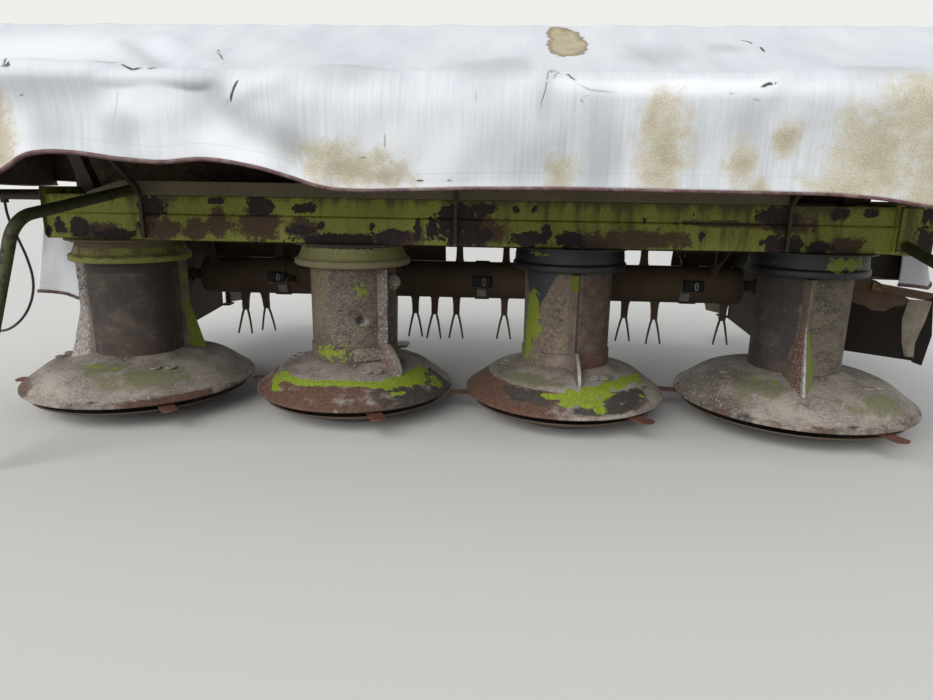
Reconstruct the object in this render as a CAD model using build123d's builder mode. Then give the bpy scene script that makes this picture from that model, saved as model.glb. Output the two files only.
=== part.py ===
from build123d import *
from math import cos, radians, sin, sqrt
import os

os.makedirs("parts", exist_ok=True)

# Drum mower with a tine conditioner, carried in front of a tractor on its three-point linkage.
# X runs along the row of drums, +Y towards the tractor and +Z up; the skid dishes stand on Z = 0.
# Y sizes are measured from the line through the four drum axes, and +X sizes are mirrored.

# Drums, millimetres
OUTER_DRUM_X = 1086
INNER_DRUM_X = 348
OUTER_DISC_R = 364
INNER_DISC_R = 322
BARREL_R = 137
BARREL_WALL = 8
DRUM_SHAFT_R = 40
DISC_TOP_Z = 184
DISC_WALL = 10
CREASE_INSET = 87
CREASE_Z = 154
RIM_TOP_Z = 90
RIM_BOTTOM_Z = 80
RIM_RING = 80
HUB_R = 60
HUB_BOTTOM_Z = 95
RIB_DEPTH = 28
RIB_THICK = 10
BAND_THICK = 4
BAND_HEIGHT = 48
KICKER_REACH = 75
KICKER_TOP_Z = 292
KICKER_THICK = 12
PLOUGH_HALF_WIDTH = 30
KNIFE_COUNT = 3
KNIFE_Z = 70
KNIFE_THICK = 4
KNIFE_WIDTH = 45
KNIFE_REACH = 55
KNIFE_BOLT_R = 11
KNIFE_BOLT_INSET = 42
SKID_FLAT_R = 170
SKID_INSET = 25
SKID_RIM_Z = 61
SKID_WALL = 6
SKID_PIN_R = 22
SKID_PIN_BOTTOM_Z = 30

# Running and seating gaps
SEAT = 0.3
FACE_GAP = 5

# Gear beam and what hangs from it
BEAM_HALF = OUTER_DRUM_X + 184
BEAM_FRONT_Y = -130
BEAM_REAR_Y = 130
BEAM_BOTTOM_Z = 556
BEAM_SEAM_Z = BEAM_BOTTOM_Z + 80
BEAM_TOP_Z = BEAM_BOTTOM_Z + 134
BEAM_STEP = 5
COLLAR_INNER_R = BARREL_R + 13
COLLAR_LIP_R = COLLAR_INNER_R + 34
COLLAR_FLANGE_R = COLLAR_LIP_R + 6
COLLAR_LIP_Z = BEAM_BOTTOM_Z - 72
COLLAR_CEILING_Z = BEAM_BOTTOM_Z - 18
BARREL_TOP_Z = COLLAR_CEILING_Z - 18
RIB_TOP_Z = COLLAR_LIP_Z - 6
STRIP_LEFT_X = -BEAM_HALF + 140
STRIP_RIGHT_X = BEAM_HALF - 315
STRIP_TOP_Z = BEAM_TOP_Z + 43
END_HOUSING_X = BEAM_HALF + 60
END_HALF_DEPTH = 140
END_PLATE = 6
END_PLATE_REAR_Y = 95
END_PLATE_TOP_Z = BEAM_TOP_Z + 22

# Support arms of the front guard
ARM_X = (-960, -7, 960)
ARM_THICK = 10

# Canopy
CANVAS = 8
CANVAS_HALF = BEAM_HALF + 52
RIDGE_Y = -300
RIDGE_Z = BEAM_TOP_Z + 410
RIDGE_R = 20
RIDGE_HALF = CANVAS_HALF + 12
FRONT_TUBE_Y = -720
FRONT_TUBE_Z = BEAM_TOP_Z + 240
FRONT_TUBE_R = 20
FRONT_TUBE_HALF = CANVAS_HALF - 12
REAR_RAIL_Y = 360
REAR_RAIL_Z = BEAM_TOP_Z + 310
REAR_RAIL_R = 16
HEM_Z = BEAM_TOP_Z + 30
SLEEVE_OUTER_R = RIDGE_R + 7
SLEEVE_LENGTH = 50
GUARD_ARM_X = (-CANVAS_HALF + 122, -380, 380, CANVAS_HALF - 122)
ROOF_BAR_X = (-CANVAS_HALF + 32, -520, 520, CANVAS_HALF - 32)
ROOF_BAR_DROP = 9
POST_X = (-BEAM_HALF + 120, -460, 460, BEAM_HALF - 120)
REAR_POST_X = (-1000, -460, 460, 1000)
GABLE_BOTTOM_Z = FRONT_TUBE_Z + 20
APRON_Y = 103
APRON_TOP_Z = REAR_RAIL_Z + 18

# Side guards, right one; the left one is its mirror image
SIDE_ROD_R = 10
SIDE_SLEEVE_R = SIDE_ROD_R + 5
SIDE_HINGE_X = RIDGE_HALF + 11
SIDE_HINGE_Z = BEAM_TOP_Z + 255
SIDE_WIDTH = 310
SIDE_OUTER_X = SIDE_HINGE_X + SIDE_WIDTH
SIDE_FRONT_Y = -700
SIDE_REAR_Y = 505
SIDE_ARM_Y = (-570, 180)
SIDE_TUBE_R = 12
DROP_PLATE = 6

# Rail round each end at beam height, its flap and the cable that hangs from it
RAIL_R = 14
RAIL_Z = BEAM_BOTTOM_Z + 128
RAIL_OUT_X = SIDE_OUTER_X - 55
RAIL_FRONT_Y = -100
RAIL_REAR_Y = 360
RAIL_BEND = 40
CABLE_R = 4

# Route of the cable loop, clip to clip; columns: x, y from the drum line, z
CABLE_ROUTE = (
    (-1418, -100, 660),
    (-1418, -100, 618),
    (-1398, -96, 556),
    (-1377, -91, 486),
    (-1368, -88, 412),
    (-1386, -90, 342),
    (-1424, -95, 284),
    (-1480, -102, 246),
    (-1540, -108, 256),
    (-1578, -110, 310),
    (-1588, -108, 378),
    (-1580, -104, 448),
    (-1566, -101, 516),
    (-1554, -99, 580),
    (-1550, -100, 622),
    (-1550, -100, 660),
)

# Crop dividers in front of the outer drums
DIVIDER_R = 15
DIVIDER_BEND = 70

# Main frame, gearbox and headstock
CROSS_FRONT_Y = 310
CROSS_REAR_Y = 410
CROSS_BOTTOM_Z = BEAM_TOP_Z + 110
CROSS_TOP_Z = CROSS_BOTTOM_Z + 100
GUSSET_X = (-900, -300, 300, 900)
GUSSET_THICK = 12
GEARBOX_HALF = 130
GEARBOX_REAR_Y = 400
GEARBOX_TOP_Z = CROSS_BOTTOM_Z - 10
INPUT_Z = BEAM_TOP_Z + 10
INPUT_R = 17.5
INPUT_JOURNAL_R = 25
INPUT_JOURNAL_LENGTH = 70
INPUT_LENGTH = 120
LINK_HALF = 412.5
LINK_PLATE = 20
LINK_PIN_R = 14
LINK_PIN_LENGTH = 85
LINK_PIN_Y = 1050
LINK_PIN_Z = 520
LINK_REAR_Y = LINK_PIN_Y + 40
MAST_PIN_Y = 800
MAST_PIN_Z = CROSS_TOP_Z + 230
MAST_HOLE_R = 12.75
MAST_EAR_GAP = 56
MAST_EAR = 12
BRACE_Y = 600

# Conditioner
SIDE_PLATE_X = BEAM_HALF - 144
SIDE_PLATE = 8
SIDE_PLATE_REAR_Y = 775
ROTOR_Y = 500
ROTOR_Z = 370
ROTOR_TUBE_R = 72
ROTOR_HALF = SIDE_PLATE_X - 66
ROTOR_SHAFT_R = 20
TINE_TIP_R = 240
TINE_BRACKET_RISE = 38
TINE_ROD_R = 5
TINE_SPREAD = 28
HOOD_R = TINE_TIP_R + 25
HOOD_WALL = 6
HOOD_FRONT_RISE = 150
HOOD_REAR_RISE = 130
HOOD_LIP_RISE = 45
HOOD_GAP_X = (-110, 860)
GEARBOX_BOTTOM_Z = ROTOR_Z + HOOD_R + HOOD_WALL - 11
BEARING_R = 50
BEARING_OUT_X = SIDE_PLATE_X + 44
COVER_OUT_X = BEARING_OUT_X + 70
SWATH_PIN_R = 8
SWATH_SLEEVE_R = SWATH_PIN_R + 5
SWATH_HINGE_X = SIDE_PLATE_X - 16
SWATH_HINGE_Y = SIDE_PLATE_REAR_Y + 25
SWATH_END_Y = 1080
SWATH_LUG_Z = (196, 604)
SWATH_LUG = 8

# Rotor tines; columns: x, azimuth about the rotor's axis (90 points up, 180 towards the drums)
TINES = (
    (-1012, 120),
    (-905, 262),
    (-833, 280),
    (-760, 90),
    (-690, 180),
    (-620, 330),
    (-550, 60),
    (-480, 200),
    (-410, 300),
    (-330, 20),
    (-270, 140),
    (-211, 272),
    (-130, 258),
    (-44, 268),
    (-33, 90),
    (149, 270),
    (151, 88),
    (230, 150),
    (310, 30),
    (390, 210),
    (470, 320),
    (550, 100),
    (629, 275),
    (690, 88),
    (742, 264),
    (870, 40),
    (940, 140),
    (1012, 270),
)

# Parking stands
STAND_X = 368
STAND_WIDTH = 36
STAND_PIVOT_Y = 920
STAND_PIVOT_Z = 300
STAND_PIN_R = 10
FOOT_Y = 890
FOOT_SIZE = 100
FOOT_THICK = 8

# The frame's origin is midway between the front canvas and the link brackets.
CANVAS_INNER_Y = FRONT_TUBE_Y - FRONT_TUBE_R - SEAT
CANVAS_FRONT_Y = CANVAS_INNER_Y - CANVAS
LINE_Y = -(LINK_REAR_Y + CANVAS_FRONT_Y) / 2

GROUND = Plane(origin=(0, LINE_Y, 0))


def cross_section(x):
    """Plane across the machine at x; its sizes are (y from the drum line, z)."""
    return Plane(origin=(x, LINE_Y, 0), x_dir=(0, 1, 0), z_dir=(1, 0, 0))


def long_section(x, y=0):
    """Plane along the machine; its sizes are (distance from x, z)."""
    return Plane(origin=(x, LINE_Y + y, 0), x_dir=(1, 0, 0), z_dir=(0, -1, 0))


def spoke(x, azimuth):
    """Upright plane through a drum's axis at x; its sizes are (radius, z)."""
    turn = radians(azimuth)
    return Plane(
        origin=(x, LINE_Y, 0),
        x_dir=(cos(turn), sin(turn), 0),
        z_dir=(sin(turn), -cos(turn), 0),
    )


def drum_axis(x):
    """Upright axis of the drum at x."""
    return Axis((x, LINE_Y, 0), (0, 0, 1))


def round_bar(start, direction, radius, length):
    """Round bar from a point on its axis, as a separate solid."""
    with BuildPart() as bar:
        with BuildSketch(Plane(origin=start, z_dir=direction)):
            Circle(radius)
        extrude(amount=length)
    return bar.part


def bent_tube(points, radius, bend):
    """Round tube, modelled solid, along straight runs joined by arcs of radius bend."""
    with BuildPart() as tube:
        with BuildLine(GROUND) as route:
            FilletPolyline(*points, radius=bend)
        with BuildSketch(Plane(origin=route.line @ 0, z_dir=route.line % 0)):
            Circle(radius)
        sweep(path=route.line)
    return tube.part


def save(part, name):
    """Label a finished piece and write it under the same name."""
    part.label = name
    export_step(part, f"parts/{name}.step")


# Columns: number, axis x, disc radius, first knife azimuth, first rib azimuth, band at the base, foot
DRUMS = (
    (1, -OUTER_DRUM_X, OUTER_DISC_R, 68, 208, False, "plough"),
    (2, -INNER_DRUM_X, INNER_DISC_R, 52, 327, True, "kicker"),
    (3, INNER_DRUM_X, INNER_DISC_R, 68, 274, True, "kicker"),
    (4, OUTER_DRUM_X, OUTER_DISC_R, 52, 250, False, "plough"),
)

for number, x, disc_r, knife_azimuth, rib_azimuth, banded, foot in DRUMS:
    axis = drum_axis(x)
    crease_r = disc_r - CREASE_INSET
    slope = (DISC_TOP_Z - CREASE_Z) / (crease_r - BARREL_R)
    kicker_r = BARREL_R + KICKER_REACH
    kicker_z = DISC_TOP_Z - slope * KICKER_REACH + 2

    # Barrel: steel tube closed at the top, with two upright ribs and a foot at each rib
    with BuildPart() as barrel:
        with BuildSketch(long_section(x)):
            Polygon(
                (BARREL_R - BARREL_WALL, DISC_TOP_Z),
                (BARREL_R, DISC_TOP_Z),
                (BARREL_R, BARREL_TOP_Z),
                (DRUM_SHAFT_R, BARREL_TOP_Z),
                (DRUM_SHAFT_R, BEAM_BOTTOM_Z - SEAT),
                (0, BEAM_BOTTOM_Z - SEAT),
                (0, BARREL_TOP_Z - BARREL_WALL),
                (BARREL_R - BARREL_WALL, BARREL_TOP_Z - BARREL_WALL),
                align=None,
            )
        revolve(axis=axis)
        if banded:
            with BuildSketch(long_section(x)):
                Polygon(
                    (BARREL_R - 2, DISC_TOP_Z),
                    (BARREL_R + BAND_THICK, DISC_TOP_Z),
                    (BARREL_R + BAND_THICK, DISC_TOP_Z + BAND_HEIGHT),
                    (BARREL_R - 2, DISC_TOP_Z + BAND_HEIGHT),
                    align=None,
                )
            revolve(axis=axis)
        for azimuth in (rib_azimuth, rib_azimuth + 180):
            with BuildSketch(spoke(x, azimuth)):
                Polygon(
                    (BARREL_R - 3, DISC_TOP_Z + 2),
                    (BARREL_R + RIB_DEPTH, DISC_TOP_Z + 2),
                    (BARREL_R + RIB_DEPTH, RIB_TOP_Z),
                    (BARREL_R - 3, RIB_TOP_Z),
                    align=None,
                )
            extrude(amount=RIB_THICK / 2, both=True)
            if foot == "kicker":
                with BuildSketch(spoke(x, azimuth)):
                    Polygon(
                        (BARREL_R - 3, DISC_TOP_Z + 2),
                        (kicker_r, kicker_z),
                        (kicker_r - 4, kicker_z + 26),
                        (BARREL_R - 3, KICKER_TOP_Z),
                        align=None,
                    )
                extrude(amount=KICKER_THICK / 2, both=True)
            else:
                turn = radians(azimuth)
                foot_plane = Plane(
                    origin=(x, LINE_Y, DISC_TOP_Z + 2),
                    x_dir=(cos(turn), sin(turn), 0),
                    z_dir=(0, 0, 1),
                )
                with BuildSketch(foot_plane):
                    Polygon(
                        (BARREL_R - 6, -PLOUGH_HALF_WIDTH),
                        (kicker_r, 0),
                        (BARREL_R - 6, PLOUGH_HALF_WIDTH),
                        align=None,
                    )
                with BuildSketch(foot_plane.offset(KICKER_TOP_Z + 30 - DISC_TOP_Z)):
                    Polygon(
                        (BARREL_R - 3, -RIB_THICK / 2),
                        (BARREL_R + RIB_DEPTH, 0),
                        (BARREL_R - 3, RIB_THICK / 2),
                        align=None,
                    )
                loft(ruled=True)
    save(barrel.part, f"drum_{number}_barrel")

    # Cutting disc: pressed steel cone with a steep skirt, a knife ring and a hub with the dish's pin
    with BuildPart() as disc:
        with BuildSketch(long_section(x)):
            Polygon(
                (0, DISC_TOP_Z),
                (BARREL_R, DISC_TOP_Z),
                (crease_r, CREASE_Z),
                (disc_r, RIM_TOP_Z),
                (disc_r, RIM_BOTTOM_Z),
                (disc_r - RIM_RING, RIM_BOTTOM_Z),
                (disc_r - RIM_RING, RIM_BOTTOM_Z + 5),
                (disc_r - 18, RIM_BOTTOM_Z + 5),
                (crease_r - 4, CREASE_Z - DISC_WALL),
                (BARREL_R - 4, DISC_TOP_Z - DISC_WALL),
                (HUB_R, DISC_TOP_Z - DISC_WALL),
                (HUB_R, HUB_BOTTOM_Z),
                (SKID_PIN_R, HUB_BOTTOM_Z),
                (SKID_PIN_R, SKID_PIN_BOTTOM_Z),
                (0, SKID_PIN_BOTTOM_Z),
                align=None,
            )
        revolve(axis=axis)
    save(disc.part, f"drum_{number}_disc")

    # Knives: flat blades held under the rim by one bolt each
    with BuildPart() as knives:
        for index in range(KNIFE_COUNT):
            turn = radians(knife_azimuth + index * 360 / KNIFE_COUNT)
            blade_root = disc_r - KNIFE_BOLT_INSET - 20
            blade_tip = disc_r + KNIFE_REACH
            blade_plane = Plane(
                origin=(x, LINE_Y, KNIFE_Z),
                x_dir=(cos(turn), sin(turn), 0),
                z_dir=(0, 0, 1),
            )
            with BuildSketch(blade_plane):
                Polygon(
                    (blade_root, -KNIFE_WIDTH / 2),
                    (blade_tip - 8, -KNIFE_WIDTH / 2),
                    (blade_tip, -KNIFE_WIDTH / 2 + 14),
                    (blade_tip, KNIFE_WIDTH / 2 - 14),
                    (blade_tip - 8, KNIFE_WIDTH / 2),
                    (blade_root, KNIFE_WIDTH / 2),
                    align=None,
                )
            extrude(amount=KNIFE_THICK)
            with BuildSketch(blade_plane.offset(-KNIFE_THICK)):
                with Locations((disc_r - KNIFE_BOLT_INSET, 0)):
                    Circle(KNIFE_BOLT_R)
            extrude(amount=RIM_BOTTOM_Z - KNIFE_Z + KNIFE_THICK)
    save(knives.part, f"drum_{number}_knives")

    # Skid dish: turns freely on the hub's pin and carries the machine on the ground
    skid_r = disc_r - SKID_INSET
    with BuildPart() as skid:
        with BuildSketch(long_section(x)):
            Polygon(
                (0, 0),
                (SKID_FLAT_R, 0),
                (skid_r, SKID_RIM_Z - SKID_WALL),
                (skid_r, SKID_RIM_Z),
                (SKID_FLAT_R - 2, SKID_WALL),
                (HUB_R, SKID_WALL),
                (HUB_R, HUB_BOTTOM_Z - FACE_GAP),
                (SKID_PIN_R + SEAT, HUB_BOTTOM_Z - FACE_GAP),
                (SKID_PIN_R + SEAT, SKID_PIN_BOTTOM_Z - FACE_GAP),
                (0, SKID_PIN_BOTTOM_Z - FACE_GAP),
                align=None,
            )
        revolve(axis=axis)
    save(skid.part, f"drum_{number}_skid")

# Gear beam: long closed housing, its lower half standing a step proud of the upper
with BuildPart() as gear_beam:
    with BuildSketch(cross_section(-BEAM_HALF)):
        Polygon(
            (BEAM_FRONT_Y, BEAM_BOTTOM_Z),
            (BEAM_REAR_Y, BEAM_BOTTOM_Z),
            (BEAM_REAR_Y, BEAM_TOP_Z),
            (BEAM_FRONT_Y + BEAM_STEP, BEAM_TOP_Z),
            (BEAM_FRONT_Y + BEAM_STEP, BEAM_SEAM_Z),
            (BEAM_FRONT_Y, BEAM_SEAM_Z - BEAM_STEP),
            align=None,
        )
    extrude(amount=2 * BEAM_HALF)
save(gear_beam.part, "gear_beam")

# End plate on the left and end housing on the right
with BuildPart(GROUND) as beam_ends:
    with Locations((-BEAM_HALF - END_PLATE / 2, (END_PLATE_REAR_Y - END_HALF_DEPTH) / 2, BEAM_BOTTOM_Z)):
        Box(
            END_PLATE,
            END_PLATE_REAR_Y + END_HALF_DEPTH,
            END_PLATE_TOP_Z - BEAM_BOTTOM_Z,
            align=(Align.CENTER, Align.CENTER, Align.MIN),
        )
    with Locations(((BEAM_HALF + END_HOUSING_X) / 2, 0, BEAM_BOTTOM_Z)):
        Box(
            END_HOUSING_X - BEAM_HALF,
            2 * END_HALF_DEPTH,
            BEAM_TOP_Z - BEAM_BOTTOM_Z,
            align=(Align.CENTER, Align.CENTER, Align.MIN),
        )
    chamfer(beam_ends.edges().filter_by(Axis.X).group_by(Axis.Z)[0], 12)
save(beam_ends.part, "beam_ends")

# Collars under the beam, round the top of each barrel
with BuildPart() as collars:
    for x in (-OUTER_DRUM_X, -INNER_DRUM_X, INNER_DRUM_X, OUTER_DRUM_X):
        with BuildSketch(long_section(x)):
            Polygon(
                (DRUM_SHAFT_R + SEAT, BEAM_BOTTOM_Z),
                (COLLAR_FLANGE_R, BEAM_BOTTOM_Z),
                (COLLAR_FLANGE_R, BEAM_BOTTOM_Z - 7),
                (COLLAR_INNER_R + 18, BEAM_BOTTOM_Z - 7),
                (COLLAR_LIP_R - 6, COLLAR_LIP_Z + 13),
                (COLLAR_LIP_R, COLLAR_LIP_Z + 10),
                (COLLAR_LIP_R, COLLAR_LIP_Z + 3),
                (COLLAR_LIP_R - 4, COLLAR_LIP_Z),
                (COLLAR_INNER_R, COLLAR_LIP_Z),
                (COLLAR_INNER_R, COLLAR_CEILING_Z),
                (DRUM_SHAFT_R + SEAT, COLLAR_CEILING_Z),
                align=None,
            )
        revolve(axis=drum_axis(x))
save(collars.part, "drum_collars")

# Steel angle lying along the top front edge of the beam, cut to a point on the left
with BuildPart() as cover_strip:
    with BuildSketch(cross_section(STRIP_LEFT_X)):
        Polygon(
            (BEAM_FRONT_Y - 6, BEAM_TOP_Z),
            (BEAM_FRONT_Y + 45, BEAM_TOP_Z),
            (BEAM_FRONT_Y + 45, BEAM_TOP_Z + 5),
            (BEAM_FRONT_Y, BEAM_TOP_Z + 5),
            (BEAM_FRONT_Y, STRIP_TOP_Z),
            (BEAM_FRONT_Y - 6, STRIP_TOP_Z),
            align=None,
        )
    extrude(amount=STRIP_RIGHT_X - STRIP_LEFT_X)
    with BuildSketch(long_section(STRIP_LEFT_X, BEAM_FRONT_Y + 60)):
        Polygon((-1, BEAM_TOP_Z + 8), (110, STRIP_TOP_Z + 1), (-1, STRIP_TOP_Z + 1), align=None)
    extrude(amount=90, mode=Mode.SUBTRACT)
save(cover_strip.part, "cover_strip")

# Support arms: flat bars bolted to the beam's face that reach forward under the front tube
arm_tip_z = FRONT_TUBE_Z - FRONT_TUBE_R - 6
with BuildPart() as support_arms:
    for x in ARM_X:
        with BuildSketch(cross_section(x)):
            Polygon(
                (BEAM_FRONT_Y, BEAM_BOTTOM_Z + 6),
                (BEAM_FRONT_Y, BEAM_SEAM_Z - BEAM_STEP),
                (BEAM_FRONT_Y - 10, BEAM_TOP_Z + 4),
                (BEAM_FRONT_Y - 20, BEAM_TOP_Z + 30),
                (RIDGE_Y, BEAM_TOP_Z + 138),
                (FRONT_TUBE_Y - 15, arm_tip_z),
                (FRONT_TUBE_Y - 15, arm_tip_z - 20),
                (RIDGE_Y - 5, BEAM_TOP_Z + 114),
                (BEAM_FRONT_Y - 38, BEAM_TOP_Z + 16),
                (BEAM_FRONT_Y - 18, BEAM_TOP_Z - 6),
                (BEAM_FRONT_Y - 18, BEAM_BOTTOM_Z + 6),
                align=None,
            )
        extrude(amount=ARM_THICK / 2, both=True)
save(support_arms.part, "support_arms")

# Canopy frame: ridge tube, rear rail, roof bars and posts
with BuildPart() as roof_tubes:
    with BuildSketch(cross_section(-RIDGE_HALF)):
        with Locations((RIDGE_Y, RIDGE_Z)):
            Circle(RIDGE_R)
        with Locations((REAR_RAIL_Y, REAR_RAIL_Z)):
            Circle(REAR_RAIL_R)
    extrude(amount=2 * RIDGE_HALF)
save(roof_tubes.part, "roof_tubes")

roof_bar_front_y = RIDGE_Y + sqrt((RIDGE_R + SEAT) ** 2 - ROOF_BAR_DROP**2)
with BuildPart() as roof_bars:
    for x in ROOF_BAR_X:
        with BuildSketch(cross_section(x)):
            Polygon(
                (roof_bar_front_y, RIDGE_Z - ROOF_BAR_DROP),
                (REAR_RAIL_Y - REAR_RAIL_R - SEAT, REAR_RAIL_Z + 4),
                (REAR_RAIL_Y - REAR_RAIL_R - SEAT, REAR_RAIL_Z - 14),
                (roof_bar_front_y, RIDGE_Z - ROOF_BAR_DROP - 18),
                align=None,
            )
        extrude(amount=15, both=True)
save(roof_bars.part, "roof_bars")

with BuildPart() as canopy_posts:
    for x in POST_X:
        with BuildSketch(cross_section(x)):
            Polygon(
                (-78, BEAM_TOP_Z),
                (-36, BEAM_TOP_Z),
                (RIDGE_Y + 18, RIDGE_Z - RIDGE_R - SEAT),
                (RIDGE_Y - 14, RIDGE_Z - RIDGE_R - SEAT),
                align=None,
            )
        extrude(amount=20, both=True)
    for x in REAR_POST_X:
        with BuildSketch(cross_section(x)):
            with Locations((REAR_RAIL_Y - 6, (CROSS_TOP_Z + REAR_RAIL_Z - REAR_RAIL_R - SEAT) / 2)):
                Rectangle(34, REAR_RAIL_Z - REAR_RAIL_R - SEAT - CROSS_TOP_Z)
        extrude(amount=15, both=True)
save(canopy_posts.part, "canopy_posts")

# Hinge rods of the side guards, each with two plates dropping from the ridge and the rear rail
with BuildPart() as hinge_rods:
    for side in (-1, 1):
        with BuildSketch(Plane(origin=(side * SIDE_HINGE_X, LINE_Y - 660, SIDE_HINGE_Z), z_dir=(0, 1, 0))):
            Circle(SIDE_ROD_R)
        extrude(amount=1160)
        for y, top in ((RIDGE_Y, RIDGE_Z + 16), (REAR_RAIL_Y, REAR_RAIL_Z + 12)):
            with BuildSketch(long_section(side * (RIDGE_HALF + DROP_PLATE / 2 + SEAT), y)):
                with Locations((0, (top + SIDE_HINGE_Z - 12) / 2)):
                    Rectangle(DROP_PLATE, top - SIDE_HINGE_Z + 12)
            extrude(amount=16, both=True)
            with BuildSketch(long_section(side * (RIDGE_HALF + SIDE_HINGE_X) / 2, y)):
                with Locations((0, SIDE_HINGE_Z)):
                    Rectangle(SIDE_HINGE_X - RIDGE_HALF, 18)
            extrude(amount=6, both=True)
save(hinge_rods.part, "side_hinge_rods")

# Dirty inner curtain behind the beam, under the roof
with BuildPart(GROUND) as inner_apron:
    with Locations((0, APRON_Y, BEAM_TOP_Z + SEAT)):
        Box(
            2 * (CANVAS_HALF - CANVAS - 4),
            6,
            APRON_TOP_Z - BEAM_TOP_Z - SEAT,
            align=(Align.CENTER, Align.CENTER, Align.MIN),
        )
save(inner_apron.part, "inner_apron")

# Rear roof canvas: from just behind the ridge over the rear rail and down a little behind it
roof_rear_y = REAR_RAIL_Y + REAR_RAIL_R + SEAT
with BuildPart() as rear_canvas:
    with BuildSketch(cross_section(-CANVAS_HALF)):
        Polygon(
            (RIDGE_Y + 44, RIDGE_Z + 22 - CANVAS),
            (REAR_RAIL_Y - 2, REAR_RAIL_Z + REAR_RAIL_R + 2),
            (roof_rear_y, REAR_RAIL_Z + 12),
            (roof_rear_y, CROSS_TOP_Z + 10),
            (roof_rear_y + CANVAS, CROSS_TOP_Z + 10),
            (roof_rear_y + CANVAS, REAR_RAIL_Z + 16),
            (REAR_RAIL_Y + 1, REAR_RAIL_Z + REAR_RAIL_R + 2 + CANVAS),
            (RIDGE_Y + 44, RIDGE_Z + 22),
            align=None,
        )
    extrude(amount=2 * CANVAS_HALF)
    for x in (-CANVAS_HALF, CANVAS_HALF - CANVAS):
        with BuildSketch(cross_section(x)):
            Polygon(
                (RIDGE_Y + 60, RIDGE_Z + 15),
                (REAR_RAIL_Y - 32, REAR_RAIL_Z + REAR_RAIL_R + 11),
                (REAR_RAIL_Y - 32, GABLE_BOTTOM_Z),
                (RIDGE_Y + 60, GABLE_BOTTOM_Z),
                align=None,
            )
        extrude(amount=CANVAS)
save(rear_canvas.part, "rear_canvas")

# Front guard: tube, four arms with sleeves round the ridge tube, and the canvas over them
with BuildPart() as front_tube:
    with BuildSketch(cross_section(-FRONT_TUBE_HALF)):
        with Locations((FRONT_TUBE_Y, FRONT_TUBE_Z)):
            Circle(FRONT_TUBE_R)
    extrude(amount=2 * FRONT_TUBE_HALF)
save(front_tube.part, "front_tube")

with BuildPart() as guard_arms:
    for x in GUARD_ARM_X:
        with BuildSketch(cross_section(x)):
            Polygon(
                (RIDGE_Y - RIDGE_R - 2, RIDGE_Z + 12),
                (FRONT_TUBE_Y + FRONT_TUBE_R + SEAT, FRONT_TUBE_Z + 18),
                (FRONT_TUBE_Y + FRONT_TUBE_R + SEAT, FRONT_TUBE_Z - 14),
                (RIDGE_Y - RIDGE_R - 2, RIDGE_Z - 20),
                align=None,
            )
        extrude(amount=4, both=True)
        with BuildSketch(cross_section(x)):
            with Locations((RIDGE_Y, RIDGE_Z)):
                Circle(SLEEVE_OUTER_R)
                Circle(RIDGE_R + SEAT, mode=Mode.SUBTRACT)
        extrude(amount=SLEEVE_LENGTH / 2, both=True)
save(guard_arms.part, "guard_arms")

canvas_ridge_z = RIDGE_Z + SLEEVE_OUTER_R + 4
with BuildPart() as front_canvas:
    with BuildSketch(cross_section(-CANVAS_HALF)):
        Polygon(
            (RIDGE_Y, canvas_ridge_z),
            (FRONT_TUBE_Y - 8, FRONT_TUBE_Z + FRONT_TUBE_R + 1.5),
            (CANVAS_INNER_Y, FRONT_TUBE_Z + 14),
            (CANVAS_INNER_Y, HEM_Z),
            (CANVAS_FRONT_Y, HEM_Z),
            (CANVAS_FRONT_Y, FRONT_TUBE_Z + 18),
            (FRONT_TUBE_Y - 12, FRONT_TUBE_Z + FRONT_TUBE_R + 1.5 + CANVAS),
            (RIDGE_Y, canvas_ridge_z + CANVAS),
            align=None,
        )
    extrude(amount=2 * CANVAS_HALF)
    for x in (-CANVAS_HALF, CANVAS_HALF - CANVAS):
        with BuildSketch(cross_section(x)):
            Polygon(
                (RIDGE_Y - 35, canvas_ridge_z - 12),
                (FRONT_TUBE_Y - 5, FRONT_TUBE_Z + FRONT_TUBE_R + 2),
                (CANVAS_INNER_Y - 2, FRONT_TUBE_Z + 10),
                (CANVAS_INNER_Y - 2, FRONT_TUBE_Z - 6),
                (RIDGE_Y - 35, GABLE_BOTTOM_Z),
                align=None,
            )
        extrude(amount=CANVAS)
save(front_canvas.part, "front_canvas")

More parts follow.
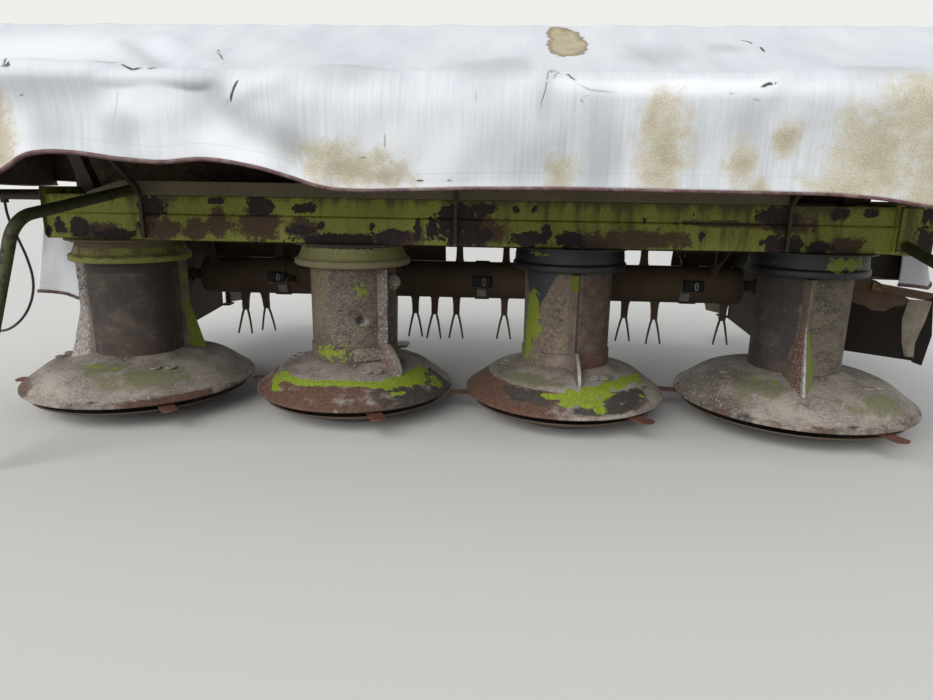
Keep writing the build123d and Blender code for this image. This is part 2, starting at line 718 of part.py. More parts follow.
# Side guards: hinged frame and canvas at each end
for side, word in ((-1, "left"), (1, "right")):
    side_tube_x = SIDE_OUTER_X - CANVAS - SIDE_TUBE_R - SEAT
    side_tube_z = SIDE_HINGE_Z - 2 - CANVAS - SIDE_TUBE_R - SEAT
    with BuildPart() as side_frame:
        with BuildSketch(
            Plane(origin=(side * side_tube_x, LINE_Y + SIDE_FRONT_Y + 20, side_tube_z), z_dir=(0, 1, 0))
        ):
            Circle(SIDE_TUBE_R)
        extrude(amount=SIDE_REAR_Y - SIDE_FRONT_Y - 35)
        for y in SIDE_ARM_Y:
            with BuildSketch(long_section(0, y)):
                arm_inner = side * SIDE_HINGE_X
                arm_outer = side * side_tube_x
                Polygon(
                    (arm_inner, SIDE_HINGE_Z - SIDE_ROD_R - 2),
                    (arm_outer, side_tube_z + 6),
                    (arm_outer, side_tube_z - 6),
                    (arm_inner, SIDE_HINGE_Z - SIDE_ROD_R - 10),
                    align=None,
                )
            extrude(amount=15, both=True)
            with BuildSketch(long_section(side * SIDE_HINGE_X, y)):
                with Locations((0, SIDE_HINGE_Z)):
                    Circle(SIDE_SLEEVE_R)
                    Circle(SIDE_ROD_R + SEAT, mode=Mode.SUBTRACT)
            extrude(amount=30, both=True)
    save(side_frame.part, f"{word}_side_frame")

    roof_inner = side * (SIDE_HINGE_X + 17)
    roof_outer = side * SIDE_OUTER_X
    with BuildPart() as side_canvas:
        with BuildSketch(long_section(0, SIDE_REAR_Y)):
            Polygon(
                (roof_inner, SIDE_HINGE_Z - 2),
                (roof_outer, SIDE_HINGE_Z - 2),
                (roof_outer, HEM_Z),
                (roof_outer - side * CANVAS, HEM_Z),
                (roof_outer - side * CANVAS, SIDE_HINGE_Z - 2 - CANVAS),
                (roof_inner, SIDE_HINGE_Z - 2 - CANVAS),
                align=None,
            )
        extrude(amount=SIDE_REAR_Y - SIDE_FRONT_Y)
        with BuildSketch(long_section(0, SIDE_FRONT_Y + CANVAS)):
            Polygon(
                (roof_inner, SIDE_HINGE_Z - 2),
                (roof_outer, SIDE_HINGE_Z - 2),
                (roof_outer, HEM_Z),
                (roof_inner, HEM_Z),
                align=None,
            )
        extrude(amount=CANVAS)
    save(side_canvas.part, f"{word}_side_canvas")

# Rails at beam height round each end; the left one has two clips for the cable under it
with BuildPart() as end_rails:
    for side, start_x in ((-1, BEAM_HALF + END_PLATE), (1, END_HOUSING_X)):
        rail = bent_tube(
            (
                (side * start_x, RAIL_FRONT_Y, RAIL_Z),
                (side * RAIL_OUT_X, RAIL_FRONT_Y, RAIL_Z),
                (side * RAIL_OUT_X, RAIL_REAR_Y, RAIL_Z),
                (side * (SIDE_PLATE_X + SIDE_PLATE), RAIL_REAR_Y, RAIL_Z),
            ),
            RAIL_R,
            RAIL_BEND,
        )
        add(rail)
    for clip_x, clip_y, clip_z in (CABLE_ROUTE[0], CABLE_ROUTE[-1]):
        with Locations((clip_x, LINE_Y + clip_y, clip_z)):
            Box(16, 16, RAIL_Z - clip_z, align=(Align.CENTER, Align.CENTER, Align.MIN))
save(end_rails.part, "end_rails")

# Flaps behind the outer drums, hung from the rails; the right one is rolled up short
for word, inner_x, outer_x, inner_z, outer_z in (
    ("left", -BEAM_HALF + 70, -RAIL_OUT_X + 20, 250, 305),
    ("right", BEAM_HALF + 30, RAIL_OUT_X - 15, 420, 440),
):
    with BuildPart() as flap:
        with BuildSketch(long_section(0, RAIL_REAR_Y + RAIL_R + SEAT + CANVAS)):
            Polygon(
                (inner_x, RAIL_Z + 16),
                (outer_x, RAIL_Z + 16),
                (outer_x, outer_z),
                (inner_x, inner_z),
                align=None,
            )
        extrude(amount=CANVAS)
    save(flap.part, f"{word}_rear_flap")

# Cable loop under the left rail
bend_radii = []
for before, corner, after in zip(CABLE_ROUTE, CABLE_ROUTE[1:], CABLE_ROUTE[2:]):
    run_in = Vector(*corner) - Vector(*before)
    run_out = Vector(*after) - Vector(*corner)
    half_turn = radians(run_in.get_angle(run_out)) / 2
    shorter = min(run_in.length, run_out.length)
    bend_radii.append(0.45 * shorter * cos(half_turn) / sin(half_turn))
with BuildPart() as hanging_cable:
    with BuildLine(GROUND) as cable_path:
        FilletPolyline(*CABLE_ROUTE, radius=bend_radii)
    with BuildSketch(Plane(origin=cable_path.line @ 0, z_dir=cable_path.line % 0)):
        Circle(CABLE_R)
    sweep(path=cable_path.line)
print("cable radii", [round(radius) for radius in bend_radii])
print("cable length", round(cable_path.wire().length), "volume", round(hanging_cable.part.volume))
save(hanging_cable.part, "hanging_cable")

# Crop dividers: bent tubes reaching forward and down in front of the outer drums
with BuildPart() as dividers:
    for route in (
        (
            (ARM_X[0] - ARM_THICK / 2 - DIVIDER_R - SEAT, -152, BEAM_TOP_Z + 16),
            (ARM_X[0] - 75, -580, BEAM_TOP_Z - 50),
            (ARM_X[0] - 230, -640, 60),
        ),
        (
            (END_HOUSING_X - 35, -END_HALF_DEPTH - 3.5, BEAM_BOTTOM_Z + 24),
            (END_HOUSING_X - 40, -580, BEAM_BOTTOM_Z - 71),
            (END_HOUSING_X + 15, -640, 60),
        ),
    ):
        add(bent_tube(route, DIVIDER_R, DIVIDER_BEND))
save(dividers.part, "crop_dividers")

# Main frame: cross tube behind and above the beam, on four gussets
with BuildPart() as cross_tube:
    with BuildSketch(cross_section(-SIDE_PLATE_X - SIDE_PLATE / 2)):
        with Locations(((CROSS_FRONT_Y + CROSS_REAR_Y) / 2, (CROSS_BOTTOM_Z + CROSS_TOP_Z) / 2)):
            RectangleRounded(CROSS_REAR_Y - CROSS_FRONT_Y, CROSS_TOP_Z - CROSS_BOTTOM_Z, 10)
    extrude(amount=2 * SIDE_PLATE_X + SIDE_PLATE)
save(cross_tube.part, "cross_tube")

with BuildPart() as gussets:
    for x in GUSSET_X:
        with BuildSketch(cross_section(x)):
            Polygon(
                (BEAM_REAR_Y, BEAM_BOTTOM_Z + 24),
                (BEAM_REAR_Y, BEAM_TOP_Z - 4),
                (CROSS_FRONT_Y, CROSS_TOP_Z - 12),
                (CROSS_FRONT_Y, CROSS_BOTTOM_Z + 12),
                (BEAM_REAR_Y + 60, BEAM_BOTTOM_Z + 24),
                align=None,
            )
        extrude(amount=GUSSET_THICK / 2, both=True)
save(gussets.part, "frame_gussets")

# Bevel gearbox on the beam's rear face, and the input shaft that runs in it
with BuildPart(GROUND) as gearbox:
    gearbox_y = (BEAM_REAR_Y + GEARBOX_REAR_Y) / 2
    with Locations((0, gearbox_y, (GEARBOX_BOTTOM_Z + GEARBOX_TOP_Z) / 2)):
        Box(2 * GEARBOX_HALF, GEARBOX_REAR_Y - BEAM_REAR_Y, GEARBOX_TOP_Z - GEARBOX_BOTTOM_Z)
    fillet(gearbox.edges().filter_by(Axis.Y), 30)
    with BuildSketch(long_section(0, GEARBOX_REAR_Y)):
        with Locations((0, INPUT_Z)):
            Circle(INPUT_JOURNAL_R + SEAT)
    extrude(amount=INPUT_JOURNAL_LENGTH + FACE_GAP, mode=Mode.SUBTRACT)
save(gearbox.part, "input_gearbox")

with BuildPart() as input_shaft:
    with BuildSketch(long_section(0, GEARBOX_REAR_Y - INPUT_JOURNAL_LENGTH)):
        with Locations((0, INPUT_Z)):
            Circle(INPUT_JOURNAL_R)
    extrude(amount=-INPUT_JOURNAL_LENGTH)
    with BuildSketch(long_section(0, GEARBOX_REAR_Y)):
        with Locations((0, INPUT_Z)):
            Circle(INPUT_R)
    extrude(amount=-INPUT_LENGTH)
save(input_shaft.part, "input_shaft")

# Headstock: two link brackets with pins, a mast with two ears, and a brace to each bracket
with BuildPart() as link_brackets:
    for side in (-1, 1):
        plate_x = LINK_HALF - LINK_PLATE if side > 0 else -LINK_HALF
        with BuildSketch(cross_section(plate_x)):
            Polygon(
                (CROSS_REAR_Y, CROSS_TOP_Z),
                (CROSS_REAR_Y + 110, CROSS_TOP_Z),
                (LINK_PIN_Y - 50, LINK_PIN_Z + 90),
                (LINK_REAR_Y, LINK_PIN_Z + 42),
                (LINK_REAR_Y, LINK_PIN_Z - 38),
                (LINK_PIN_Y - 30, LINK_PIN_Z - 58),
                (STAND_PIVOT_Y + 40, STAND_PIVOT_Z - 30),
                (STAND_PIVOT_Y - 40, STAND_PIVOT_Z - 30),
                (STAND_PIVOT_Y - 60, LINK_PIN_Z - 40),
                (CROSS_REAR_Y, CROSS_BOTTOM_Z - 10),
                align=None,
            )
            with Locations((STAND_PIVOT_Y, STAND_PIVOT_Z)):
                Circle(STAND_PIN_R + SEAT, mode=Mode.SUBTRACT)
        extrude(amount=LINK_PLATE)
        with BuildSketch(cross_section(side * LINK_HALF)):
            with Locations((LINK_PIN_Y, LINK_PIN_Z)):
                Circle(LINK_PIN_R)
        extrude(amount=side * LINK_PIN_LENGTH)
save(link_brackets.part, "link_brackets")

with BuildPart() as mast:
    for x in (-MAST_EAR_GAP / 2 - MAST_EAR, MAST_EAR_GAP / 2):
        with BuildSketch(cross_section(x)):
            Polygon(
                (CROSS_REAR_Y, CROSS_TOP_Z),
                (CROSS_REAR_Y, CROSS_BOTTOM_Z + 10),
                (CROSS_REAR_Y + 70, CROSS_BOTTOM_Z + 10),
                (MAST_PIN_Y + 45, MAST_PIN_Z - 30),
                (MAST_PIN_Y + 45, MAST_PIN_Z + 35),
                (MAST_PIN_Y - 30, MAST_PIN_Z + 45),
                (MAST_PIN_Y - 60, MAST_PIN_Z),
                align=None,
            )
            with Locations((MAST_PIN_Y, MAST_PIN_Z)):
                Circle(MAST_HOLE_R, mode=Mode.SUBTRACT)
        extrude(amount=MAST_EAR)
save(mast.part, "top_link_mast")

with BuildPart() as mast_braces:
    for side in (-1, 1):
        with BuildSketch(long_section(0, BRACE_Y)):
            Polygon(
                (side * (LINK_HALF - LINK_PLATE), CROSS_BOTTOM_Z - 110),
                (side * (LINK_HALF - LINK_PLATE), CROSS_BOTTOM_Z - 30),
                (side * (MAST_EAR_GAP / 2 + MAST_EAR), MAST_PIN_Z - 115),
                (side * (MAST_EAR_GAP / 2 + MAST_EAR), MAST_PIN_Z - 195),
                align=None,
            )
        extrude(amount=MAST_EAR)
save(mast_braces.part, "mast_braces")

# Conditioner: side plates, bent hood, bearings, drive cover and deflector
with BuildPart() as side_plates:
    for side in (-1, 1):
        plate_x = SIDE_PLATE_X if side > 0 else -SIDE_PLATE_X - SIDE_PLATE
        with BuildSketch(cross_section(plate_x)):
            Polygon(
                (BEAM_REAR_Y, BEAM_BOTTOM_Z + 10),
                (BEAM_REAR_Y, BEAM_TOP_Z),
                (CROSS_FRONT_Y + 10, CROSS_BOTTOM_Z),
                (CROSS_REAR_Y - 10, CROSS_BOTTOM_Z),
                (SIDE_PLATE_REAR_Y - 35, ROTOR_Z + 280),
                (SIDE_PLATE_REAR_Y, ROTOR_Z + 250),
                (SIDE_PLATE_REAR_Y, ROTOR_Z - 180),
                (ROTOR_Y - 50, ROTOR_Z - 200),
                (ROTOR_Y - 220, ROTOR_Z - 130),
                (ROTOR_Y - 260, ROTOR_Z + 130),
                (COLLAR_FLANGE_R + 15, BEAM_BOTTOM_Z + 6),
                align=None,
            )
            with Locations((ROTOR_Y, ROTOR_Z)):
                Circle(ROTOR_SHAFT_R + 10, mode=Mode.SUBTRACT)
        extrude(amount=SIDE_PLATE)
        for z in SWATH_LUG_Z:
            with BuildSketch(Plane(origin=(side * (SIDE_PLATE_X - 17), LINE_Y + SWATH_HINGE_Y - 10, z))):
                Rectangle(34, 56)
            extrude(amount=SWATH_LUG / 2, both=True)
        with BuildSketch(Plane(origin=(side * SWATH_HINGE_X, LINE_Y + SWATH_HINGE_Y, SWATH_LUG_Z[0]))):
            Circle(SWATH_PIN_R)
        extrude(amount=SWATH_LUG_Z[1] - SWATH_LUG_Z[0])
save(side_plates.part, "conditioner_side_plates")

hood_outer_r = HOOD_R + HOOD_WALL
hood_half = SIDE_PLATE_X - SEAT
hood_front_run = sqrt(hood_outer_r**2 - HOOD_FRONT_RISE**2)
hood_rear_run = sqrt(hood_outer_r**2 - HOOD_REAR_RISE**2)
hood_lip_run = sqrt(hood_outer_r**2 - HOOD_LIP_RISE**2)
with BuildPart() as hood:
    with BuildSketch(cross_section(-hood_half)):
        with Locations((ROTOR_Y, ROTOR_Z)):
            Circle(hood_outer_r)
            Circle(HOOD_R, mode=Mode.SUBTRACT)
        Polygon(
            (ROTOR_Y, ROTOR_Z),
            (ROTOR_Y - 2 * hood_front_run, ROTOR_Z + 2 * HOOD_FRONT_RISE),
            (ROTOR_Y - 2 * hood_front_run, ROTOR_Z + 2 * hood_outer_r),
            (ROTOR_Y + 2 * hood_rear_run, ROTOR_Z + 2 * hood_outer_r),
            (ROTOR_Y + 2 * hood_rear_run, ROTOR_Z + 2 * HOOD_REAR_RISE),
            align=None,
            mode=Mode.INTERSECT,
        )
    extrude(amount=2 * hood_half)
    for x, width in ((-hood_half, HOOD_GAP_X[0] + hood_half), (HOOD_GAP_X[1], hood_half - HOOD_GAP_X[1])):
        with BuildSketch(cross_section(x)):
            with Locations((ROTOR_Y, ROTOR_Z)):
                Circle(hood_outer_r)
                Circle(HOOD_R, mode=Mode.SUBTRACT)
            Polygon(
                (ROTOR_Y, ROTOR_Z),
                (ROTOR_Y + 2 * hood_rear_run, ROTOR_Z + 2 * HOOD_REAR_RISE + 4),
                (ROTOR_Y + 2 * hood_lip_run, ROTOR_Z + 2 * HOOD_LIP_RISE),
                align=None,
                mode=Mode.INTERSECT,
            )
        extrude(amount=width)
    for x in (-700, 700):
        with BuildSketch(cross_section(x)):
            with Locations((CROSS_FRONT_Y + 70, ROTOR_Z + HOOD_R * 0.85)):
                Rectangle(40, CROSS_BOTTOM_Z - ROTOR_Z - HOOD_R * 0.85, align=(Align.CENTER, Align.MIN))
            with Locations((ROTOR_Y, ROTOR_Z)):
                Circle(HOOD_R + HOOD_WALL / 2, mode=Mode.SUBTRACT)
        extrude(amount=5, both=True)
save(hood.part, "conditioner_hood")

with BuildPart() as bearings:
    for side in (-1, 1):
        with BuildSketch(cross_section(side * (SIDE_PLATE_X + SIDE_PLATE))):
            with Locations((ROTOR_Y, ROTOR_Z)):
                Circle(BEARING_R)
                Circle(ROTOR_SHAFT_R + SEAT, mode=Mode.SUBTRACT)
        extrude(amount=side * (BEARING_OUT_X - SIDE_PLATE_X - SIDE_PLATE))
save(bearings.part, "rotor_bearings")

with BuildPart() as drive_cover:
    with BuildSketch(cross_section(BEARING_OUT_X)):
        Polygon(
            (ROTOR_Y - 115, CROSS_BOTTOM_Z - 20),
            (ROTOR_Y - 115, ROTOR_Z - 40),
            (ROTOR_Y - 60, ROTOR_Z - 90),
            (ROTOR_Y + 60, ROTOR_Z - 90),
            (ROTOR_Y + 140, ROTOR_Z - 10),
            (ROTOR_Y + 100, CROSS_BOTTOM_Z - 20),
            align=None,
        )
    extrude(amount=COVER_OUT_X - BEARING_OUT_X)
    fillet(drive_cover.edges().filter_by(Axis.X), 20)
save(drive_cover.part, "conditioner_drive_cover")

deflector_start = Vector(SIDE_PLATE_X + 94, LINE_Y + 360, 0)
deflector_along = Vector(380, -140, 0).normalized()
deflector_plane = Plane(
    origin=deflector_start,
    x_dir=deflector_along,
    z_dir=deflector_along.cross(Vector(0, 0, 1)),
)
with BuildPart() as deflector:
    with BuildSketch(deflector_plane):
        Polygon((0, 180), (0, 500), (250, 430), (400, 350), (400, 155), align=None)
    extrude(amount=6)
    with BuildSketch(deflector_plane.offset(6)):
        Polygon((240, 395), (440, 368), (440, 396), (240, 424), align=None)
    extrude(amount=12)
    with BuildSketch(deflector_plane):
        Polygon((398, 150), (430, 140), (444, 250), (430, 372), (398, 360), align=None)
    extrude(amount=5)
    with BuildSketch(Plane(origin=(SIDE_PLATE_X + SIDE_PLATE, LINE_Y + 349, 400), z_dir=(1, 0, 0))):
        Rectangle(26, 30)
    extrude(amount=102)
save(deflector.part, "right_deflector")

# Conditioner rotor: tube on a shaft, with V-shaped tines on brackets
with BuildPart() as rotor_tube:
    with BuildSketch(cross_section(-ROTOR_HALF)):
        with Locations((ROTOR_Y, ROTOR_Z)):
            Circle(ROTOR_TUBE_R)
    extrude(amount=2 * ROTOR_HALF)
    with BuildSketch(cross_section(-BEARING_OUT_X + SEAT)):
        with Locations((ROTOR_Y, ROTOR_Z)):
            Circle(ROTOR_SHAFT_R)
    extrude(amount=2 * (BEARING_OUT_X - SEAT))
save(rotor_tube.part, "rotor_tube")

with BuildPart() as tines:
    for tine_x, azimuth in TINES:
        turn = radians(azimuth)
        outward = Vector(0, cos(turn), sin(turn))
        centre = Vector(tine_x, LINE_Y + ROTOR_Y, ROTOR_Z)
        bracket_plane = Plane(origin=centre + outward * (ROTOR_TUBE_R + SEAT), x_dir=(1, 0, 0), z_dir=outward)
        with BuildSketch(bracket_plane):
            Rectangle(26, 30)
        extrude(amount=TINE_BRACKET_RISE)
        root = centre + outward * (ROTOR_TUBE_R + TINE_BRACKET_RISE - 6)
        for spread in (-TINE_SPREAD, TINE_SPREAD):
            tip = centre + outward * (TINE_TIP_R - 1) + Vector(spread, 0, 0)
            start = root + Vector(spread * 0.3, 0, 0)
            add(round_bar(start, tip - start, TINE_ROD_R, (tip - start).length))
save(tines.part, "rotor_tines")

# Swath boards behind the conditioner, each swinging on an upright pin
for side, word in ((-1, "left"), (1, "right")):
    with BuildPart() as board:
        with BuildSketch(Plane(origin=(side * SWATH_HINGE_X, LINE_Y + SWATH_HINGE_Y, SWATH_LUG_Z[0] + 6))):
            Circle(SWATH_SLEEVE_R)
            Circle(SWATH_PIN_R + SEAT, mode=Mode.SUBTRACT)
        extrude(amount=SWATH_LUG_Z[1] - SWATH_LUG_Z[0] - 12)
        with BuildSketch(cross_section(side * SWATH_HINGE_X - 3)):
            Polygon(
                (SWATH_HINGE_Y + SWATH_SLEEVE_R - 2, SWATH_LUG_Z[0] + 6),
                (SWATH_HINGE_Y + SWATH_SLEEVE_R - 2, SWATH_LUG_Z[1] - 6),
                (LINK_PIN_Y - 120, SWATH_LUG_Z[1] - 44),
                (LINK_PIN_Y - 40, LINK_PIN_Z - 80),
                (SWATH_END_Y, LINK_PIN_Z - 120),
                (SWATH_END_Y, SWATH_LUG_Z[0] + 34),
                (SWATH_END_Y - 60, SWATH_LUG_Z[0] - 16),
                align=None,
            )
        extrude(amount=6)
    save(board.part, f"{word}_swath_board")

# Parking stands on the inner faces of the link brackets
for side, word in ((-1, "left"), (1, "right")):
    with BuildPart(GROUND) as stand:
        with BuildSketch(cross_section(side * STAND_X - STAND_WIDTH / 2)):
            Polygon(
                (FOOT_Y - 22, FOOT_THICK / 2),
                (FOOT_Y + 22, FOOT_THICK / 2),
                (STAND_PIVOT_Y + 22, STAND_PIVOT_Z + 6),
                (STAND_PIVOT_Y + 8, STAND_PIVOT_Z + 24),
                (STAND_PIVOT_Y - 8, STAND_PIVOT_Z + 24),
                (STAND_PIVOT_Y - 22, STAND_PIVOT_Z + 6),
                align=None,
            )
        extrude(amount=STAND_WIDTH)
        with Locations((side * (STAND_X - 20), FOOT_Y, FOOT_THICK / 2)):
            Box(FOOT_SIZE, FOOT_SIZE, FOOT_THICK)
        with BuildSketch(cross_section(side * STAND_X)):
            with Locations((STAND_PIVOT_Y, STAND_PIVOT_Z)):
                Circle(STAND_PIN_R)
        extrude(amount=side * (LINK_HALF + 12 - STAND_X))
    save(stand.part, f"{word}_parking_stand")
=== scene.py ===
import bmesh
import bpy
import numpy as np
from mathutils import Matrix


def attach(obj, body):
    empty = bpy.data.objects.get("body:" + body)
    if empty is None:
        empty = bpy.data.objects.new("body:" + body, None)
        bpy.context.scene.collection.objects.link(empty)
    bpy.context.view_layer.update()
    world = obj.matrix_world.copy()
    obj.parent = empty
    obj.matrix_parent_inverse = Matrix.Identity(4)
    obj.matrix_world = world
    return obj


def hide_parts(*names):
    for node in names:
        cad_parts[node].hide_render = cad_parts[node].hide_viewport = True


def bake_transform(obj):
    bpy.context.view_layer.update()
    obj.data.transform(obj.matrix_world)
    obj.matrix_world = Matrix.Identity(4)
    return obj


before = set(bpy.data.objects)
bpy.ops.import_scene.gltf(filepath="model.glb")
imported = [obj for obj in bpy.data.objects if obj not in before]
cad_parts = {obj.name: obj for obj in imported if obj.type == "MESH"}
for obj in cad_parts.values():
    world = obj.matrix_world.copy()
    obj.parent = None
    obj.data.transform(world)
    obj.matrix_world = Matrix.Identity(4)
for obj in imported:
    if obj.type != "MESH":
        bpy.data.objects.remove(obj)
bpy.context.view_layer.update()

# Studio: the camera stands low in front of the drums, turned a little to the left and rolled by under a
# degree.
# A pale floor and an even sky light the mower, with one broad lamp high on the left, as under a bright
# overcast sky.
CAMERA_PLACE = (0.1327, -2.2972, 0.7255)
CAMERA_LENS = 25.47
CAMERA_YAW, CAMERA_PITCH, CAMERA_ROLL = 0.0509, -0.2407, -0.0153
FLOOR_HALF = 60.0

scene = bpy.context.scene
scene.view_settings.view_transform = "Standard"
camera = bpy.data.objects.new("camera", bpy.data.cameras.new("camera"))
scene.collection.objects.link(camera)
camera.data.sensor_width = 36.0
camera.data.lens = CAMERA_LENS
camera.data.clip_end = 200.0
aim = Matrix.Rotation(CAMERA_YAW, 4, "Z") @ Matrix.Rotation(CAMERA_PITCH, 4, "X")
aim = aim @ Matrix.Rotation(CAMERA_ROLL, 4, "Y")
camera.matrix_world = Matrix.Translation(CAMERA_PLACE) @ aim @ Matrix.Rotation(np.pi / 2, 4, "X")
scene.camera = camera


def srgb(code):
    """Linear colour of an sRGB hex code, with its alpha."""
    value = np.array([int(code[i : i + 2], 16) for i in (1, 3, 5)]) / 255
    linear = np.where(value <= 0.04045, value / 12.92, ((value + 0.055) / 1.055) ** 2.4)
    return (*linear.tolist(), 1.0)


def node(tree, kind, inputs=(), out=0, **settings):
    """Adds a shader node with its settings, fills or links its inputs, and returns one of its outputs."""
    made = tree.nodes.new("ShaderNode" + kind)
    for key, value in settings.items():
        setattr(made, key, value)
    for key, value in dict(inputs).items():
        if isinstance(value, bpy.types.NodeSocket):
            tree.links.new(value, made.inputs[key])
        else:
            made.inputs[key].default_value = value
    return made.outputs[out] if len(made.outputs) else made


# Settings that many nodes share: of a mix of colours, whose result is its third output, of a value that is
# scaled and moved, and of a mask with a soft rim
COLOURS = {"out": 2, "data_type": "RGBA"}
MULTIPLY_ADD = {"operation": "MULTIPLY_ADD"}
SOFT_RIM = {"interpolation_type": "SMOOTHSTEP"}


def seen_directly(tree):
    """1 where the camera, a reflection or glass shows the surface, 0 for the light that it gives."""
    rays = [
        node(tree, "LightPath", out=name)
        for name in ("Is Camera Ray", "Is Glossy Ray", "Is Transmission Ray")
    ]
    first = node(tree, "Math", {0: rays[0], 1: rays[1]}, operation="MAXIMUM")
    return node(tree, "Math", {0: first, 1: rays[2]}, operation="MAXIMUM")


world = bpy.data.worlds.new("studio")
world.use_nodes = True
scene.world = world
sky = world.node_tree
sky.nodes.clear()
skylight = node(sky, "Background", {"Color": srgb("#F4F7FB"), "Strength": 0.42})
backdrop = node(sky, "Background", {"Color": srgb("#EFEFEC"), "Strength": 1.0})
sky_mix = node(sky, "MixShader", {0: seen_directly(sky), 1: skylight, 2: backdrop})
node(sky, "OutputWorld", {"Surface": sky_mix})

lamp = bpy.data.objects.new("broad_lamp", bpy.data.lights.new("broad_lamp", "SUN"))
scene.collection.objects.link(lamp)
lamp.data.energy = 2.7
lamp.data.angle = 0.9
lamp.matrix_world = Matrix.Rotation(-0.45, 4, "Z") @ Matrix.Rotation(0.97, 4, "X")

floor_mesh = bpy.data.meshes.new("floor")
corners = [
    (-FLOOR_HALF, -FLOOR_HALF, 0), (FLOOR_HALF, -FLOOR_HALF, 0), (FLOOR_HALF, FLOOR_HALF, 0),
    (-FLOOR_HALF, FLOOR_HALF, 0),
]
floor_mesh.from_pydata(corners, [], [(0, 1, 2, 3)])
floor = bpy.data.objects.new("floor", floor_mesh)
scene.collection.objects.link(floor)
# Matt floor paint: pale where it is seen, and as dull as turf in the light that it throws back up.
floor_paint = bpy.data.materials.new("matt_floor_paint")
floor_paint.use_nodes = True
tree = floor_paint.node_tree
floor_colour = node(
    tree, "Mix", {0: seen_directly(tree), 6: srgb("#8C8A80"), 7: srgb("#DEDDD9")}, **COLOURS
)
tree.links.new(floor_colour, tree.nodes["Principled BSDF"].inputs["Base Color"])
tree.nodes["Principled BSDF"].inputs["Roughness"].default_value = 0.9
floor_mesh.materials.append(floor_paint)

# Black cable loop that hangs from two clips under the left rail: one core in a soft plastic sheath.
# Its points are the route of the CAD solid, measured in metres, with y from the line through the drums' axes.
LINE_Y = -0.17085
CABLE_DIAMETER = 0.008
CABLE_ROUTE = (
    (-1.418, -0.1, 0.66),
    (-1.418, -0.1, 0.618),
    (-1.398, -0.096, 0.556),
    (-1.377, -0.091, 0.486),
    (-1.368, -0.088, 0.412),
    (-1.386, -0.09, 0.342),
    (-1.424, -0.095, 0.284),
    (-1.48, -0.102, 0.246),
    (-1.54, -0.108, 0.256),
    (-1.578, -0.11, 0.31),
    (-1.588, -0.108, 0.378),
    (-1.58, -0.104, 0.448),
    (-1.566, -0.101, 0.516),
    (-1.554, -0.099, 0.58),
    (-1.55, -0.1, 0.622),
    (-1.55, -0.1, 0.66),
)

curve = bpy.data.curves.new("hanging_cable_loop", "CURVE")
curve.dimensions = "3D"
spline = curve.splines.new("NURBS")
spline.points.add(len(CABLE_ROUTE) - 1)
for point, (x, y, z) in zip(spline.points, CABLE_ROUTE):
    point.co = (x, LINE_Y + y, z, 1.0)
spline.order_u = 3
spline.use_endpoint_u = True
spline.resolution_u = 12
curve.bevel_depth = CABLE_DIAMETER / 2
curve.bevel_resolution = 5
curve.use_fill_caps = True
cable = bpy.data.objects.new("hanging_cable_loop", curve)
scene.collection.objects.link(cable)
# Plasticised PVC sheath, extruded: near black, with a dull bloom of weather and a soft sheen.
sheath = bpy.data.materials.new("pvc_cable_sheath")
sheath.use_nodes = True
tree = sheath.node_tree
place = node(tree, "TexCoord", out="Object")
bloom = node(tree, "TexNoise", {"Vector": place, "Scale": 60.0, "Detail": 4.0})
colour = node(tree, "Mix", {0: bloom, 6: srgb("#17171A"), 7: srgb("#37353A")}, **COLOURS)
tree.links.new(colour, tree.nodes["Principled BSDF"].inputs["Base Color"])
tree.nodes["Principled BSDF"].inputs["Roughness"].default_value = 0.48
curve.materials.append(sheath)
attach(cable, "carrier")
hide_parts("hanging_cable")

# Gear beam: a long closed housing of pressed steel halves bolted along their seam, the lower half a step
# proud.
# It has worn lime enamel, with dark primer and rust where the paint has flaked, and grime washed down from
# the top.
# From here on, every y is measured from the line through the drums' axes, which lies at LINE_Y in the model.
BEAM_HALF = 1.27
BEAM_FRONT, BEAM_REAR = -0.13, 0.13
BEAM_BOTTOM, BEAM_SEAM, BEAM_TOP = 0.556, 0.636, 0.69
BEAM_STEP = 0.005
# Places where the enamel has come off the front, and where a brown film lies on it: x, z, half width, half
# height
BEAM_FLAKES = (
    (-1.268, 0.582, 0.01, 0.023), (-1.231, 0.591, 0.019, 0.025), (-1.167, 0.589, 0.039, 0.03),
    (-1.056, 0.572, 0.07, 0.016),
    (-0.934, 0.655, 0.044, 0.036), (-0.731, 0.676, 0.028, 0.01), (-0.599, 0.666, 0.04, 0.028),
    (-0.61, 0.69, 0.03, 0.02),
    (-0.464, 0.66, 0.042, 0.016), (-0.479, 0.594, 0.048, 0.016), (-0.416, 0.611, 0.013, 0.012),
    (-0.355, 0.568, 0.143, 0.018),
    (-0.259, 0.61, 0.008, 0.012), (-0.196, 0.577, 0.05, 0.024), (-0.122, 0.601, 0.01, 0.032),
    (-0.081, 0.603, 0.014, 0.034),
    (-0.001, 0.62, 0.07, 0.062), (0.02, 0.588, 0.075, 0.034), (0.075, 0.664, 0.034, 0.02),
    (0.092, 0.59, 0.016, 0.012),
    (0.211, 0.579, 0.052, 0.024), (0.262, 0.602, 0.018, 0.022), (0.335, 0.58, 0.046, 0.024),
    (0.17, 0.664, 0.01, 0.01),
    (0.225, 0.668, 0.008, 0.012), (0.717, 0.597, 0.01, 0.014), (0.932, 0.656, 0.056, 0.034),
    (0.937, 0.58, 0.042, 0.026),
    (0.987, 0.579, 0.024, 0.022), (1.059, 0.571, 0.034, 0.02), (1.103, 0.669, 0.027, 0.02),
    (1.194, 0.674, 0.021, 0.014),
    (1.349, 0.668, 0.022, 0.024), (1.34, 0.592, 0.052, 0.044), (0.55, 0.64, 0.006, 0.008),
    (0.69, 0.66, 0.006, 0.006),
)
